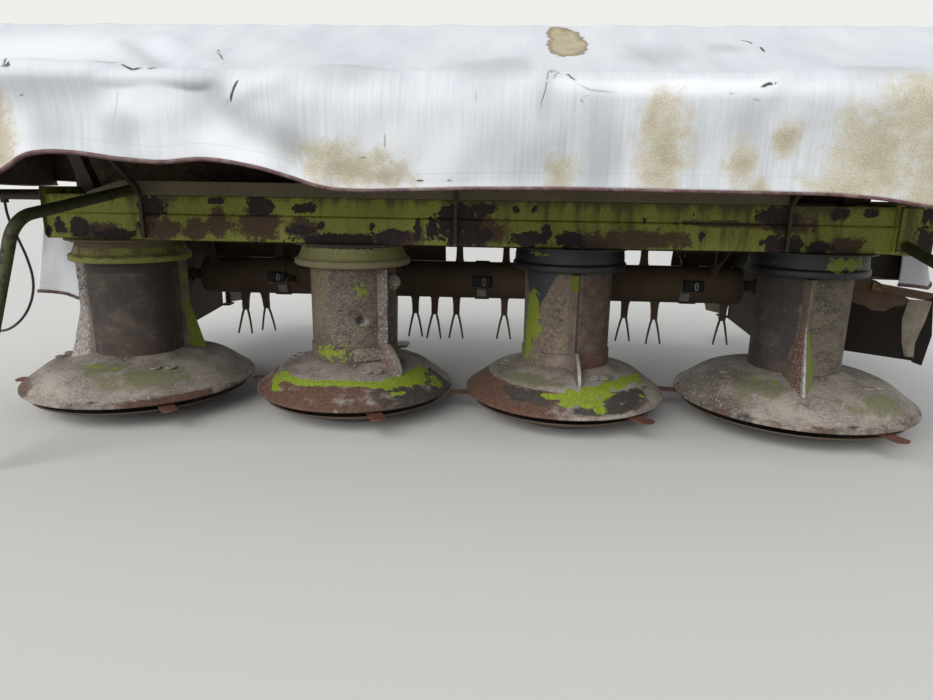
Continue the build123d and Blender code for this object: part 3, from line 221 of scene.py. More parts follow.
BEAM_FILM = (
    (-0.914, 0.59, 0.074, 0.036), (-0.803, 0.59, 0.045, 0.034), (-0.731, 0.61, 0.034, 0.05),
    (-0.605, 0.602, 0.08, 0.05),
    (-0.47, 0.6, 0.05, 0.036), (-0.292, 0.57, 0.06, 0.02), (0.086, 0.6, 0.056, 0.044),
    (0.533, 0.584, 0.15, 0.03),
    (0.4, 0.575, 0.08, 0.02), (0.773, 0.634, 0.13, 0.01), (1.132, 0.58, 0.054, 0.026),
    (0.96, 0.64, 0.09, 0.03),
    (-0.18, 0.575, 0.09, 0.024), (-1.12, 0.58, 0.09, 0.026),
)


def quads(rows, cols, close_rows=False, close_cols=False):
    """Four-sided faces of rows by cols points numbered row by row; a closed direction joins its ends."""
    row, col = np.meshgrid(
        np.arange(rows - (not close_rows)), np.arange(cols - (not close_cols)), indexing="ij",
    )
    below, beside = (row + 1) % rows * cols, (col + 1) % cols
    return np.stack([row * cols + col, row * cols + beside, below + beside, below + col], -1).reshape(-1, 4)


def capped(rings, kind=0):
    """Closed tube through rings of points, as two parts: the wall between the rings, and both end caps."""
    count, sides = rings.shape[:2]
    ends = [np.arange(sides), (count - 1) * sides + np.arange(sides)]
    return [(rings, quads(count, sides, False, True), kind), (rings, ends, kind)]


def keep_fields(mesh, fields):
    """Stores each field, a number or a function of the points from the drums' line, as a point attribute.
    A field of three values at a point is kept as a vector."""
    points = np.empty(len(mesh.vertices) * 3, np.float32)
    mesh.vertices.foreach_get("co", points)
    points = points.reshape(-1, 3).astype(float) - (0, LINE_Y, 0)
    for key, field in fields.items():
        value = np.asarray(field(points) if callable(field) else field, np.float32)
        if value.ndim == 2:
            mesh.attributes.new(key, "FLOAT_VECTOR", "POINT").data.foreach_set("vector", value.ravel())
        else:
            spread = np.ascontiguousarray(np.broadcast_to(value, len(points)))
            mesh.attributes.new(key, "FLOAT", "POINT").data.foreach_set("value", spread)


def finished(made, materials, body, stands_for=(), slot=None, sharp=32, edge=0.0, edge_material=-1):
    """Gives a mesh its materials, smooth faces, sharp and rounded edges, body and nodes; slot is not used."""
    mesh = made.data
    mesh.polygons.foreach_set("use_smooth", [True] * len(mesh.polygons))
    mesh.set_sharp_from_angle(angle=np.radians(sharp))
    for material in materials:
        mesh.materials.append(material)
    scene.collection.objects.link(made)
    if edge:
        rounding = made.modifiers.new("worn_edges", "BEVEL")
        rounding.width = edge
        rounding.segments = 2
        rounding.limit_method = "ANGLE"
        rounding.angle_limit = np.radians(40)
        rounding.material = edge_material
    if body:
        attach(made, body)
    if stands_for:
        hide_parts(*stands_for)
    return made


def piece(name, parts, materials, body, stands_for=(), slot=None, fields=None, closed=True, **finish):
    """One mesh object from parts, each (points, faces, material number), with y from the drums' line.
    Doubles are merged, and closed shells are turned to face outwards."""
    points, faces, kinds, start = [], [], [], 0
    for part_points, part_faces, kind in parts:
        flat = np.asarray(part_points, float).reshape(-1, 3)
        points.append(flat)
        faces += [[start + int(index) for index in face] for face in part_faces]
        kinds += [kind] * len(part_faces)
        start += len(flat)
    mesh = bpy.data.meshes.new(name)
    mesh.from_pydata((np.concatenate(points) + (0, LINE_Y, 0)).tolist(), [], faces)
    mesh.polygons.foreach_set("material_index", kinds)
    work = bmesh.new()
    work.from_mesh(mesh)
    bmesh.ops.remove_doubles(work, verts=work.verts, dist=2e-5)
    if closed:
        bmesh.ops.recalc_face_normals(work, faces=work.faces)
    work.to_mesh(mesh)
    work.free()
    keep_fields(mesh, fields or {})
    return finished(bpy.data.objects.new(name, mesh), materials, body, stands_for, slot, **finish)


def softened(name, body, coat, slot, fields=None, edge=0.002, edge_metal=None):
    """A copy of a CAD node, with doubles merged and flat triangles joined, so that its edges can be rounded.
    The rounded edges show rubbed steel, or the edge metal that is given."""
    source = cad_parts[name]
    mesh = source.data.copy()
    mesh.name = name + "_finished"
    mesh.materials.clear()
    work = bmesh.new()
    work.from_mesh(mesh)
    bmesh.ops.remove_doubles(work, verts=work.verts, dist=1e-5)
    bmesh.ops.dissolve_limit(work, angle_limit=np.radians(2), verts=work.verts, edges=work.edges)
    for face in work.faces:
        face.material_index = 0
    work.to_mesh(mesh)
    work.free()
    keep_fields(mesh, fields or {})
    made = bpy.data.objects.new(mesh.name, mesh)
    return finished(made, [coat, edge_metal or rubbed_edge], body, [name], slot, edge=edge, edge_material=1)


def blotches(spots, low=-0.6):
    """Field of soft spots: 1 at the middle of a spot, 0 on its rim and falling outside, never under low.
    A spot is (across, up, half width, half height); the field is the largest 1 - distance over size."""
    spots = np.array(spots, float)

    def field(across, up):
        """The field at each place, as whole arrays."""
        far = np.hypot(
            (across[:, None] - spots[:, 0]) / spots[:, 2], (up[:, None] - spots[:, 1]) / spots[:, 3],
        )
        return np.maximum(low, (1 - far).max(1))

    return field


def fine(points, step):
    """The polyline again, with points no further than step apart."""
    points = np.asarray(points, float)
    runs = [
        np.linspace(a, b, max(1, int(np.ceil(np.linalg.norm(b - a) / step))), endpoint=False)
        for a, b in zip(points, points[1:])
    ]
    return np.concatenate(runs + [points[-1:]])


def eased(points, ease, steps=4):
    """The polyline with each inner corner cut `ease` before and after it, and joined by a parabola."""
    points = np.asarray(points, float)
    made = [points[:1]]
    share = np.linspace(0, 1, steps + 1)[:, None]
    for before, corner, after in zip(points, points[1:], points[2:]):
        first, last = np.linalg.norm(before - corner), np.linalg.norm(after - corner)
        cut = min(ease, 0.45 * first, 0.45 * last)
        start, end = corner + (before - corner) * cut / first, corner + (after - corner) * cut / last
        made.append((1 - share) ** 2 * start + 2 * share * (1 - share) * corner + share**2 * end)
    return np.concatenate(made + [points[-1:]])


def waves(across, along, shortest, longest, seed, count=9):
    """Unevenness between -1 and 1: a sum of plane cosine waves of random direction, length and phase."""
    random = np.random.default_rng(seed)
    total = np.zeros(np.broadcast(across, along).shape)
    for _ in range(count):
        angle, phase = random.uniform(0, np.pi), random.uniform(0, 2 * np.pi)
        rate = 2 * np.pi / random.uniform(shortest, longest)
        total += np.cos(rate * (np.cos(angle) * across + np.sin(angle) * along) + phase)
    return total / count**0.5 / 1.6


def aged(
    name, tones, cloud, grain, rough, patches=(), stretch=(1, 1, 1), rise=0.0006, metallic=0.0, coords=None,
):
    """Weathered outdoor surface as a material, with colours as hex codes and sizes in metres.
    Two tones are mixed by clouds of size cloud and by grain, which spots them with a third; stretch draws
    the clouds out. A patch is (field, colour, second colour, size, raggedness, softness, roughness, rise): it
    shows where the piece's own field plus raggedness times noise of that size passes 0."""
    material = bpy.data.materials.new(name)
    material.use_nodes = True
    tree = material.node_tree
    shader = tree.nodes["Principled BSDF"]
    if coords:
        place = node(tree, "Attribute", out="Vector", attribute_name=coords)
    else:
        place = node(tree, "TexCoord", out="Object")
    drawn = node(tree, "Mapping", {"Vector": place, "Scale": stretch})
    clouds = node(tree, "TexNoise", {"Vector": drawn, "Scale": 0.5 / cloud, "Detail": 6.0, "Roughness": 0.62})
    mottle = node(tree, "TexNoise", {"Vector": place, "Scale": 0.5 / grain, "Detail": 5.0, "Roughness": 0.7})
    both = node(tree, "Math", {0: clouds, 1: mottle}, operation="ADD")
    share = node(tree, "MapRange", {"Value": both, "From Min": 0.86, "From Max": 1.14})
    colour = node(tree, "Mix", {0: share, 6: srgb(tones[0]), 7: srgb(tones[1])}, **COLOURS)
    specks = node(tree, "MapRange", {"Value": mottle, "From Min": 0.57, "From Max": 0.66})
    colour = node(tree, "Mix", {0: specks, 6: colour, 7: srgb(tones[2])}, **COLOURS)
    gloss = node(
        tree, "MapRange",
        {"Value": mottle, "From Min": 0.3, "From Max": 0.7, "To Min": rough - 0.1, "To Max": rough + 0.08},
    )
    height = node(tree, "Math", {0: mottle, 1: rise}, operation="MULTIPLY")
    for field, first, second, size, ragged, soft, patch_rough, patch_rise in patches:
        chips = node(
            tree, "TexNoise",
            {"Vector": drawn if ragged > 1 else place, "Scale": 0.5 / size, "Detail": 7.0, "Roughness": 0.66},
        )
        ragged_edge = node(tree, "Math", {0: chips, 1: -0.5}, operation="ADD")
        kept = node(tree, "Attribute", out="Fac", attribute_name=field)
        reach = node(tree, "Math", {0: ragged_edge, 1: ragged * 4, 2: kept}, **MULTIPLY_ADD)
        mask = node(
            tree, "MapRange", {"Value": reach, "From Min": -soft, "From Max": soft}, **SOFT_RIM
        )
        spread = node(tree, "MapRange", {"Value": mottle, "From Min": 0.38, "From Max": 0.64})
        patch = node(tree, "Mix", {0: spread, 6: srgb(first), 7: srgb(second)}, **COLOURS)
        colour = node(tree, "Mix", {0: mask, 6: colour, 7: patch}, **COLOURS)
        gloss = node(tree, "Mix", {0: mask, 2: gloss, 3: patch_rough}, data_type="FLOAT")
        height = node(tree, "Math", {0: mask, 1: patch_rise, 2: height}, **MULTIPLY_ADD)
    bump = node(tree, "Bump", {"Strength": 1.0, "Distance": 1.0, "Height": height})
    shader.inputs["Metallic"].default_value = metallic
    tree.links.new(colour, shader.inputs["Base Color"])
    tree.links.new(gloss, shader.inputs["Roughness"])
    tree.links.new(bump, shader.inputs["Normal"])
    return material


# Alkyd enamel sprayed on steel, decades outdoors: lime green gone olive, matt, streaked downwards with grime.
# Flakes show the purple-brown primer under it.
lime_enamel = aged(
    "lime_alkyd_enamel",
    ("#B0B64E", "#959B3A", "#6E7038"),
    0.09,
    0.003,
    0.55,
    patches=[
        ("grime", "#5F5A38", "#74714A", 0.02, 1.01, 0.5, 0.8, 0.0),
        ("film", "#725C46", "#55443A", 0.012, 0.55, 0.22, 0.8, -0.0002),
        ("flaked", "#2A2124", "#4A3A38", 0.009, 0.6, 0.04, 0.8, -0.0006),
        ("scratched", "#33292A", "#52423D", 0.004, 1.3, 0.06, 0.8, -0.0004),
    ],
    stretch=(1, 1, 0.14),
)
# Edges where the enamel has rubbed off: dull brown mill steel with a thin coat of rust.
rubbed_edge = aged("rubbed_steel_edge", ("#4A3F33", "#5F5A34", "#6B5540"), 0.02, 0.002, 0.7)

share = np.linspace(0, 1, 290)
stations = -BEAM_HALF + 2 * BEAM_HALF * share
front_upper = BEAM_FRONT + BEAM_STEP
outline = eased(
    [
        (BEAM_REAR, 0.6), (BEAM_REAR, BEAM_BOTTOM), (BEAM_FRONT, BEAM_BOTTOM),
        (BEAM_FRONT, BEAM_SEAM - BEAM_STEP), (front_upper - 0.0015, BEAM_SEAM - 0.0015),
        (front_upper + 0.002, BEAM_SEAM), (front_upper, BEAM_SEAM + 0.003),
        (front_upper, BEAM_TOP), (BEAM_REAR, BEAM_TOP), (BEAM_REAR, 0.6),
    ],
    0.004,
    3,
)
outline = fine(outline, 0.009)[:-1]
beam_points = np.empty((len(stations), len(outline), 3))
beam_points[..., 0] = stations[:, None]
beam_points[..., 1:] = outline
front = (outline[:, 0] < -0.1)[None]
dents = waves(stations[:, None], outline[None, :, 1], 0.12, 0.6, 3)
beam_points[..., 1] += np.where(front, 0.0011 * (dents + 1), 0)
beam_flakes, beam_film = blotches(BEAM_FLAKES), blotches(BEAM_FILM, -0.9)
beam_scratches = blotches(np.array(BEAM_FLAKES) * (1, 1, 1.0, 1.35), -2.2)
piece(
    "gear_beam_housing",
    capped(beam_points),
    [lime_enamel],
    "carrier",
    ["gear_beam"],
    "green_paint",
    fields={
        "flaked": lambda p: np.where(
            p[:, 1] < BEAM_FRONT + 0.02, beam_flakes(p[:, 0], p[:, 2]), np.where(
                p[:, 2] < BEAM_BOTTOM + 0.002, 0.3, -0.45,
            )
        ),
        "film": lambda p: np.where(p[:, 1] < BEAM_FRONT + 0.02, beam_film(p[:, 0], p[:, 2]), -0.6),
        "scratched": lambda p: np.where(
            p[:, 1] < BEAM_FRONT + 0.02, beam_scratches(p[:, 0], p[:, 2]) - 0.75, -2.5,
        ),
        "grime": lambda p: -0.45 + 0.75 * np.exp(
            -(((p[:, 2] - BEAM_TOP) / 0.022) ** 2)
        ) + 0.2 * np.sin(2.3 * p[:, 0]),
    },
)

# Right end gear cover: a cast box bolted on beyond the beam's last seam, painted with it and flaked to rusty
# brown.
END_COVER_LEFT, END_COVER_RIGHT, END_COVER_LENGTH = 1.262, 1.376, 0.114
station = np.linspace(END_COVER_LEFT, END_COVER_RIGHT, 26)
share = (station - END_COVER_LEFT) / END_COVER_LENGTH
loop = eased(
    [
        (0.05, 0.6), (0.05, 0.555), (-0.1335, 0.555), (-0.1335, 0.632), (-0.13, 0.638), (-0.13, 0.6985),
        (0.05, 0.6985), (0.05, 0.6),
    ],
    0.007,
    4,
)
loop = fine(loop, 0.008)[:-1]
middle = loop.mean(0)
shrink = np.where(np.abs(share - 0.5) > 0.46, 0.975, 1.0)[:, None, None]
cover = np.empty((len(station), len(loop), 3))
cover[..., 0] = station[:, None]
cover[..., 1:] = middle + (loop - middle) * shrink
cover[..., 2] -= np.where(loop[:, 1] < 0.6, 0.007, 0)[None] * share[:, None]
piece(
    "right_end_gear_cover",
    capped(cover),
    [lime_enamel],
    "carrier",
    slot="green_paint",
    fields={
        "flaked": lambda p: beam_flakes(p[:, 0], p[:, 2]),
        "film": -0.6,
        "scratched": -2.5,
        "grime": -0.3,
    },
)

# Cover strip: a steel angle bolted along the top front edge of the beam, its left end cut to a point.
# Its beige enamel is bleached and dusty, and rust shows along the edges.
beige_enamel = aged(
    "beige_alkyd_enamel",
    ("#8C8068", "#7A6E58", "#5F5546"),
    0.12,
    0.003,
    0.7,
    patches=[("flaked", "#4A3B33", "#57483A", 0.012, 0.4, 0.08, 0.8, -0.0004)],
    stretch=(1, 1, 0.3),
)
softened("cover_strip", "carrier", beige_enamel, "beige_paint", {"flaked": -0.32}, edge=0.0015)

# Beam ends: a plate screwed to the left end and a cast housing on the right one, each with hexagon screws.
HEX_SIZE = 0.019


def turned(profile, centre, axis=(0, 0, 1), sides=48, phase=0.0):
    """A profile of (radius, height) turned about an axis through centre: a grid of profile by angle."""
    axis = np.asarray(axis, float) / np.linalg.norm(axis)
    side = np.cross(axis, (0.31, 0.83, 0.46))
    across = side / np.linalg.norm(side) if abs(axis[2]) < 0.999 else np.array((1.0, 0, 0))
    up = np.cross(axis, across)
    turn = np.linspace(0, 2 * np.pi, sides, endpoint=False) + phase
    profile = np.asarray(profile, float)
    ring = np.cos(turn)[:, None] * across + np.sin(turn)[:, None] * up
    return np.asarray(centre, float) + profile[:, None, :1] * ring + profile[:, None, 1:] * axis


def turned_part(profile, centre, axis=(0, 0, 1), sides=48, phase=0.0, kind=0):
    """The turned profile as a part; a profile that starts and ends on the axis is closed."""
    return turned(profile, centre, axis, sides, phase), quads(len(profile), sides, False, True), kind


def hex_bolts(places, axis, size=HEX_SIZE, kind=0, washer=True):
    """Hexagon heads on round washers: each a six-sided turned profile with a chamfered top, at its place."""
    parts = []
    for index, place in enumerate(places):
        radius, high = size / 1.732, size * 0.4
        base = 0.0025 if washer else 0.0
        head = [
            (0, base + high), (radius * 0.8, base + high), (radius, base + high * 0.8),
            (radius, base - 0.001), (0, base - 0.001),
        ]
        parts.append(turned_part(head, place, axis, 6, index * 0.7, kind))
        if washer:
            ring = [
                (0, base), (size * 0.98, base), (size * 1.02, base - 0.0006), (size * 1.02, -0.001),
                (0, -0.001),
            ]
            parts.append(turned_part(ring, place, axis, 16, 0, kind))
    return parts


# Zinc-plated screws whose plating has gone: dull brown rust with grey left on the flats.
rusty_zinc = aged("rusty_zinc_plating", ("#5B4A3D", "#47382F", "#7C7468"), 0.02, 0.0015, 0.6, rise=0.0003)

end_fields = {
    "flaked": lambda p: np.where(p[:, 1] < -0.1, beam_flakes(p[:, 0], p[:, 2]), -0.34),
    "grime": -0.1,
    "film": -0.3,
    "scratched": -2.5,
}
softened("beam_ends", "carrier", lime_enamel, "green_paint", end_fields, edge=0.004)
end_bolts = hex_bolts([(-1.276, y, z) for y in (-0.11, 0.07) for z in (0.585, 0.675)], (-1, 0, 0))
end_bolts += hex_bolts(
    [(1.33, y, z) for y in (-0.105, -0.035, 0.035, 0.105) for z in (0.59, 0.66)], (1, 0, 0),
)
seam_x = np.arange(-1.2, 1.25, 0.16)
end_bolts += hex_bolts([(x, 0.13, BEAM_SEAM - 0.02) for x in seam_x], (0, 1, 0), 0.013)
piece("beam_screws", end_bolts, [rusty_zinc], "carrier", slot="rusted_steel")

# Support arms: flat bars bolted to the face of the beam, which reach forward to carry the front tube when it
# is down.
# Their black enamel is nearly all rust and dust.
ARM_X = (-0.96, -0.007, 0.96)
black_enamel = aged(
    "black_alkyd_enamel",
    ("#2B2624", "#38302B", "#4A3D34"),
    0.05,
    0.003,
    0.6,
    patches=[("flaked", "#4A362B", "#5E4634", 0.012, 0.45, 0.1, 0.8, -0.0003)],
)
softened("support_arms", "carrier", black_enamel, "black_paint", {"flaked": -0.15}, edge=0.0015)
arm_bolts = []
for x in ARM_X:
    arm_bolts += hex_bolts(
        [(x + side * 0.022, BEAM_FRONT, 0.6) for side in (-1, 1)], (0, -1, 0), 0.012, 0, False,
    )
    arm_bolts += [
        turned_part(
            [(0, 0.0), (0.012, 0.0), (0.012, 0.006), (0, 0.006)], (x - 0.008, -0.7, 0.893), (1, 0, 0), 12,
        )
    ]
piece("support_arm_bolts", arm_bolts, [rusty_zinc], "carrier", slot="rusted_steel")

# Drum collars: pressed steel rings bolted under the beam, which keep crop off the tops of the barrels.
# Each has its own wear: lime enamel on the first, bleached olive on the second, black on the other two.
DRUM_X = (-1.086, -0.348, 0.348, 1.086)


def collar_profile(neck, flare, lip):
    """Section of a collar: a flange under the beam, and a neck of that radius flared to a rolled lip."""
    return eased(
        [
            (0.041, 0.556), (0.19, 0.556), (0.19, 0.549), (neck, 0.549), (neck + 0.003, 0.531),
            (flare, 0.509), (lip, 0.503), (lip, 0.487), (lip - 0.004, 0.484), (0.15, 0.484),
            (0.15, 0.538), (0.041, 0.538), (0.041, 0.556),
        ],
        0.003,
        2,
    )


collar_lime = aged(
    "collar_lime_enamel", ("#9A9C4C", "#86853F", "#645D3A"), 0.06, 0.003, 0.6,
    patches=[
        ("grime", "#5E523F", "#7A7050", 0.02, 0.5, 0.25, 0.8, 0.0),
        ("flaked", "#453A36", "#5C4D42", 0.008, 0.5, 0.06, 0.8, -0.0004),
    ],
)
collar_olive = aged(
    "collar_olive_enamel", ("#9E9C6C", "#8E8C52", "#77694A"), 0.05, 0.003, 0.65,
    patches=[
        ("grime", "#8C7D62", "#A39678", 0.03, 0.5, 0.25, 0.8, 0.0),
        ("flaked", "#45383A", "#574742", 0.008, 0.5, 0.06, 0.8, -0.0004),
    ],
)
collar_black = aged(
    "collar_black_enamel", ("#0E1014", "#131418", "#222225"), 0.05, 0.002, 0.5,
    patches=[
        ("lime", "#7F8C2C", "#6B7530", 0.01, 0.85, 0.06, 0.6, 0.0),
        ("flaked", "#8F8C84", "#55524E", 0.004, 0.5, 0.05, 0.6, -0.0003),
    ],
)


def round_drum(points, number):
    """Azimuth in degrees, 270 towards the camera's side, and radius of points about that drum."""
    across, along = points[:, 0] - DRUM_X[number - 1], points[:, 1]
    return np.degrees(np.arctan2(along, across)) % 360, np.hypot(across, along)


collar_looks = (
    (
        collar_lime,
        {
            "grime": lambda p: np.where(p[:, 2] > 0.53, 0.5, np.where(p[:, 2] > 0.497, 0.0, -0.5)),
            "flaked": -0.45,
        },
    ),
    (
        collar_olive,
        {
            "grime": lambda p: 0.35 - 22 * (p[:, 2] - 0.488),
            "flaked": lambda p: -0.35 + 0.6 * (p[:, 2] > 0.546),
        },
    ),
    (
        collar_black,
        {
            "lime": lambda p: blotches([(230, 0.537, 10, 0.006)])(round_drum(p, 3)[0], p[:, 2]),
            "flaked": -0.62,
        },
    ),
    (
        collar_black,
        {
            "lime": lambda p: blotches(
                [(274, 0.527, 9, 0.021), (291, 0.527, 10, 0.02)]
            )(round_drum(p, 4)[0], p[:, 2]),
            "flaked": lambda p: np.where(p[:, 2] < 0.5, -0.22, -0.7),
        },
    ),
)
for number, (x, (enamel, fields)) in enumerate(zip(DRUM_X, collar_looks), 1):
    section = collar_profile(0.16, 0.172, 0.184) if number < 3 else collar_profile(0.168, 0.172, 0.178)
    ring = turned_part(fine(section, 0.007), (x, 0, 0), sides=120)
    bolts = hex_bolts(
        [(x + 0.181 * np.cos(a), 0.181 * np.sin(a), 0.5495) for a in np.arange(0.2, 6.2, 0.785)], (0, 0, -1),
        0.008, 0, False,
    )
    piece(
        f"drum_{number}_collar", [ring] + bolts, [enamel], "carrier", ["drum_collars"],
        "green_paint" if number < 3 else "black_paint", fields,
    )

# Drum barrels: rolled steel tubes on the cutting discs, each with two angle-iron ribs that carry the crop
# through.
# The paint is gone and the steel is evenly rusted, with pale specks, lichen and what is left of the lime
# paint.
BARREL_R = 0.137
BARREL_BASE, BARREL_TOP = 0.184, 0.52
RIB_R = 0.165
RIB_TOP = 0.478
# Reach of the plough foot under a rib, and how much wider it is there
FEET = {1: (0.211, 0.018), 4: (0.28, 0.034)}
# Number, azimuth of the first rib, band round the base, foot at each rib
DRUM_KINDS = ((1, 208, False), (2, 321, True), (3, 274, True), (4, 254, False))
barrel_steel = aged(
    "rusted_mild_steel_tube", ("#7A6D61", "#463D37", "#A39890"), 0.035, 0.0034, 0.72,
    patches=[
        ("dark", "#3A3331", "#463B38", 0.04, 0.3, 0.3, 0.75, 0.0),
        ("tan", "#A08F78", "#6E6052", 0.006, 0.5, 0.3, 0.8, 0.0),
        ("red", "#57403A", "#6B5048", 0.02, 0.45, 0.3, 0.8, 0.0),
        ("soot", "#34363A", "#3D3F43", 0.02, 0.12, 0.06, 0.6, 0.0002),
        ("lime", "#93A02A", "#7A8630", 0.006, 0.55, 0.06, 0.7, 0.0002),
        ("pale", "#ABA39D", "#857C76", 0.002, 0.6, 0.1, 0.7, 0.0002),
    ],
    stretch=(1, 1, 1.8), rise=0.0008,
)
rib_steel = aged(
    "worn_angle_iron", ("#8A7D73", "#5E5148", "#AFA49B"), 0.03, 0.003, 0.65,
    patches=[
        ("red", "#6E4A3C", "#8E6450", 0.008, 0.5, 0.2, 0.8, 0.0),
        ("lime", "#8A9530", "#6F7A2E", 0.012, 0.45, 0.08, 0.6, 0.0002),
        ("pale", "#C9C2BE", "#8E8480", 0.0035, 0.6, 0.06, 0.6, 0.0003),
    ],
    rise=0.0008,
)
# The outer edge of the feet, where passing crop keeps rubbing the rust off: pale bare steel.
worn_bright = aged(
    "crop_worn_steel", ("#B9B4AE", "#98918A", "#D0CCC7"), 0.01, 0.001, 0.42, metallic=0.3, rise=0.0002,
)

# The "dark" look is partly dark rust and partly painted shade: on barrels 1 to 3 it darkens the side turned
# away from the lamp, and on barrels 1 and 4 it paints a shade band above 0.45 m, under the collar.
barrel_looks = {
    1: {
        "dark": lambda a, r, z: 0.06 + 0.3 * (z > 0.45) + 0.2 * np.clip((a - 300) / 40, 0, 1),
        "tan": lambda a, r, z: -0.5,
        "red": lambda a, r, z: -0.45 + 0.25 * (z < 0.25) * (a > 270),
        "soot": lambda a, r, z: -0.6,
        "lime": lambda a, r, z: -0.9 + 0.25 * (z < 0.3) * (a > 265),
        "pale": lambda a, r, z: -0.62,
    },
    2: {
        "dark": lambda a, r, z: np.maximum(
            -0.3 - 0.2 * np.clip((240 - a) / 20, -1, 1), 1.2 * blotches([(290, 0.32, 3.4, 0.009)])(a, z)
        ),
        "tan": lambda a, r, z: np.maximum(
            blotches([(218, 0.42, 30, 0.14), (243, 0.475, 12, 0.03)])(a, z), -0.12,
        ),
        "red": lambda a, r, z: -0.4 + 0.25 * (z < 0.26),
        "soot": lambda a, r, z: np.maximum(-0.6, 1.2 * blotches([(290, 0.32, 5.2, 0.013)])(a, z)),
        "lime": lambda a, r, z: np.maximum(
            0.55 * blotches([(291, 0.413, 14, 0.024)], -0.9)(a, z) - 0.2,
            0.5 * blotches([(250, 0.213, 36, 0.03)], -0.9)(a, z) - 0.2,
        ),
        "pale": lambda a, r, z: np.maximum(
            -0.16 - 0.3 * np.clip((245 - a) / 20, 0, 1) - 0.25 * (z < 0.235)
            - 0.7 * np.clip(1.4 * blotches([(290, 0.321, 6, 0.016)])(a, z), 0, 1),
            1.4 * blotches([(299, 0.313, 3.4, 0.008), (293, 0.306, 5, 0.0035)])(a, z),
        ),
    },
    3: {
        "dark": lambda a, r, z: -0.4 + 0.22 * (a > 283),
        "tan": lambda a, r, z: np.where(a < 283, 0.02, -0.5),
        "red": lambda a, r, z: np.where((a > 283) & (a < 360), -0.08 + 0.3 * (z < 0.235), -0.5),
        "soot": lambda a, r, z: np.minimum(
            1.2 - np.abs(a - 219 - 3 * (0.474 - z) / 0.12) / np.maximum(26 * (z - 0.352) / 0.12, 1.0),
            12 * (z - 0.35),
        ),
        "lime": lambda a, r, z: blotches(
            [(214, 0.345, 13, 0.075), (217, 0.3, 13, 0.03), (206, 0.27, 9, 0.07), (262, 0.205, 5, 0.014)]
        )(a, z),
        "pale": lambda a, r, z: -0.55 + 0.2 * (a < 283) * (z < 0.42),
    },
    4: {
        "dark": lambda a, r, z: np.where(a < 246, 0.15, -0.35) + 0.2 * (z > 0.45),
        "tan": lambda a, r, z: -0.45,
        "red": lambda a, r, z: -0.5,
        "soot": lambda a, r, z: -0.6,
        "lime": lambda a, r, z: -0.85 + 0.57 * (a > 256) * (a < 330),
        "pale": lambda a, r, z: -0.6 + 0.36 * (a > 256),
    },
}
rib_looks = {
    1: {
        "red": lambda a, r, z: np.where(z < 0.21, 0.0, -0.5),
        "lime": lambda a, r, z: np.where((a < 120) | (a > 300), 0.3 - 0.32 * (z > 0.33), -0.9),
        "pale": lambda a, r, z: np.where((a > 120) & (a < 300), 0.08 + 0.12 * (z < 0.33), -0.9),
    },
    2: {
        "red": lambda a, r, z: -0.32 + 0.2 * (z < 0.25), "lime": lambda a, r, z: -0.9,
        "pale": lambda a, r, z: -0.12,
    },
    3: {
        "red": lambda a, r, z: -0.3, "lime": lambda a, r, z: blotches([(272, 0.455, 9, 0.03)], -0.9)(a, z),
        "pale": lambda a, r, z: -0.5,
    },
    4: {
        "red": lambda a, r, z: np.where(a < 254, 0.12, -0.6) - 0.3 * (z > 0.33),
        "lime": lambda a, r, z: np.where(a > 255, -0.05 + 0.35 * (z < 0.32), -0.9),
        "pale": lambda a, r, z: np.where(
            r > 0.163 + np.clip(0.325 - z, 0, 1) * 0.66, 0.3 - 0.8 * (z > 0.34),
            -0.16 - 0.5 * (z > 0.34) - 0.5 * (a > 255),
        ),
    },
}


def drum_fields(looks, number):
    """The looks, functions of azimuth, radius and z, as fields of the points of that drum's pieces."""

    def field(look):
        """One look as a field."""
        return lambda p: look(*round_drum(p, number), p[:, 2]) + np.zeros(len(p))

    return {key: field(look) for key, look in looks.items()}


def at_azimuth(x, azimuth, radius, sideways, z):
    """Points at a radius along the spoke at azimuth and a distance sideways from it."""
    turn, radius, sideways, z = np.broadcast_arrays(np.radians(azimuth), radius, sideways, z)
    cos, sin = np.cos(turn), np.sin(turn)
    return np.stack([x + radius * cos - sideways * sin, radius * sin + sideways * cos, z], -1)


def angle_rib(x, azimuth, reach=RIB_R, spread=0.0):
    """Angle-iron rib: at each height a rounded triangle with its ridge outwards, closed at both ends.
    Below 0.325 m a foot's ridge leans out to its reach and its sides spread, down to the disc's cone."""
    foot_z = 0.154 if spread else BARREL_BASE
    z = np.concatenate([np.linspace(foot_z, 0.325, 26), np.linspace(0.335, RIB_TOP, 22)])
    low = np.clip((0.325 - z) / (0.325 - foot_z), 0, 1)
    ridge = RIB_R + (reach - RIB_R) * low + 0.0012 * waves(z, 0 * z, 0.03, 0.2, int(azimuth))
    half = 0.0165 + spread * low**0.75
    across = np.array([-1.0, -0.62, -0.22, -0.07, 0.07, 0.22, 0.62, 1.0, 0.4, -0.4])
    share = np.array([0.0, 0.42, 0.86, 1.0, 1.0, 0.86, 0.42, 0.0, -0.12, -0.12])
    base = BARREL_R - 0.003 - half[:, None] ** 2 / 0.29
    radius = base + (ridge[:, None] - base) * np.where(share > 0, share, share * 0.2)
    # No point goes below the top of the disc's cone, which falls by one in five.
    z = np.maximum(z[:, None], (0.179 - 0.2 * (radius - 0.142)) if spread else 0)
    return capped(at_azimuth(x, azimuth, radius, half[:, None] * across, z), 1)


def radial_plate(x, azimuth, outline, thick, worn):
    """Plate standing on a spoke, from an outline of (radius, z); edges number `worn` get the worn metal."""
    outline = np.asarray(outline, float)
    count = len(outline)
    faces = [at_azimuth(x, azimuth, outline[:, 0], side * thick / 2, outline[:, 1]) for side in (-1, 1)]
    points = np.stack(faces)
    rim = quads(2, count, False, True)
    flat = [np.arange(count), count + np.arange(count)]
    plain = [face for index, face in enumerate(rim) if index not in worn]
    return [(points, flat + plain, 1), (points, [rim[index] for index in worn], 2)]


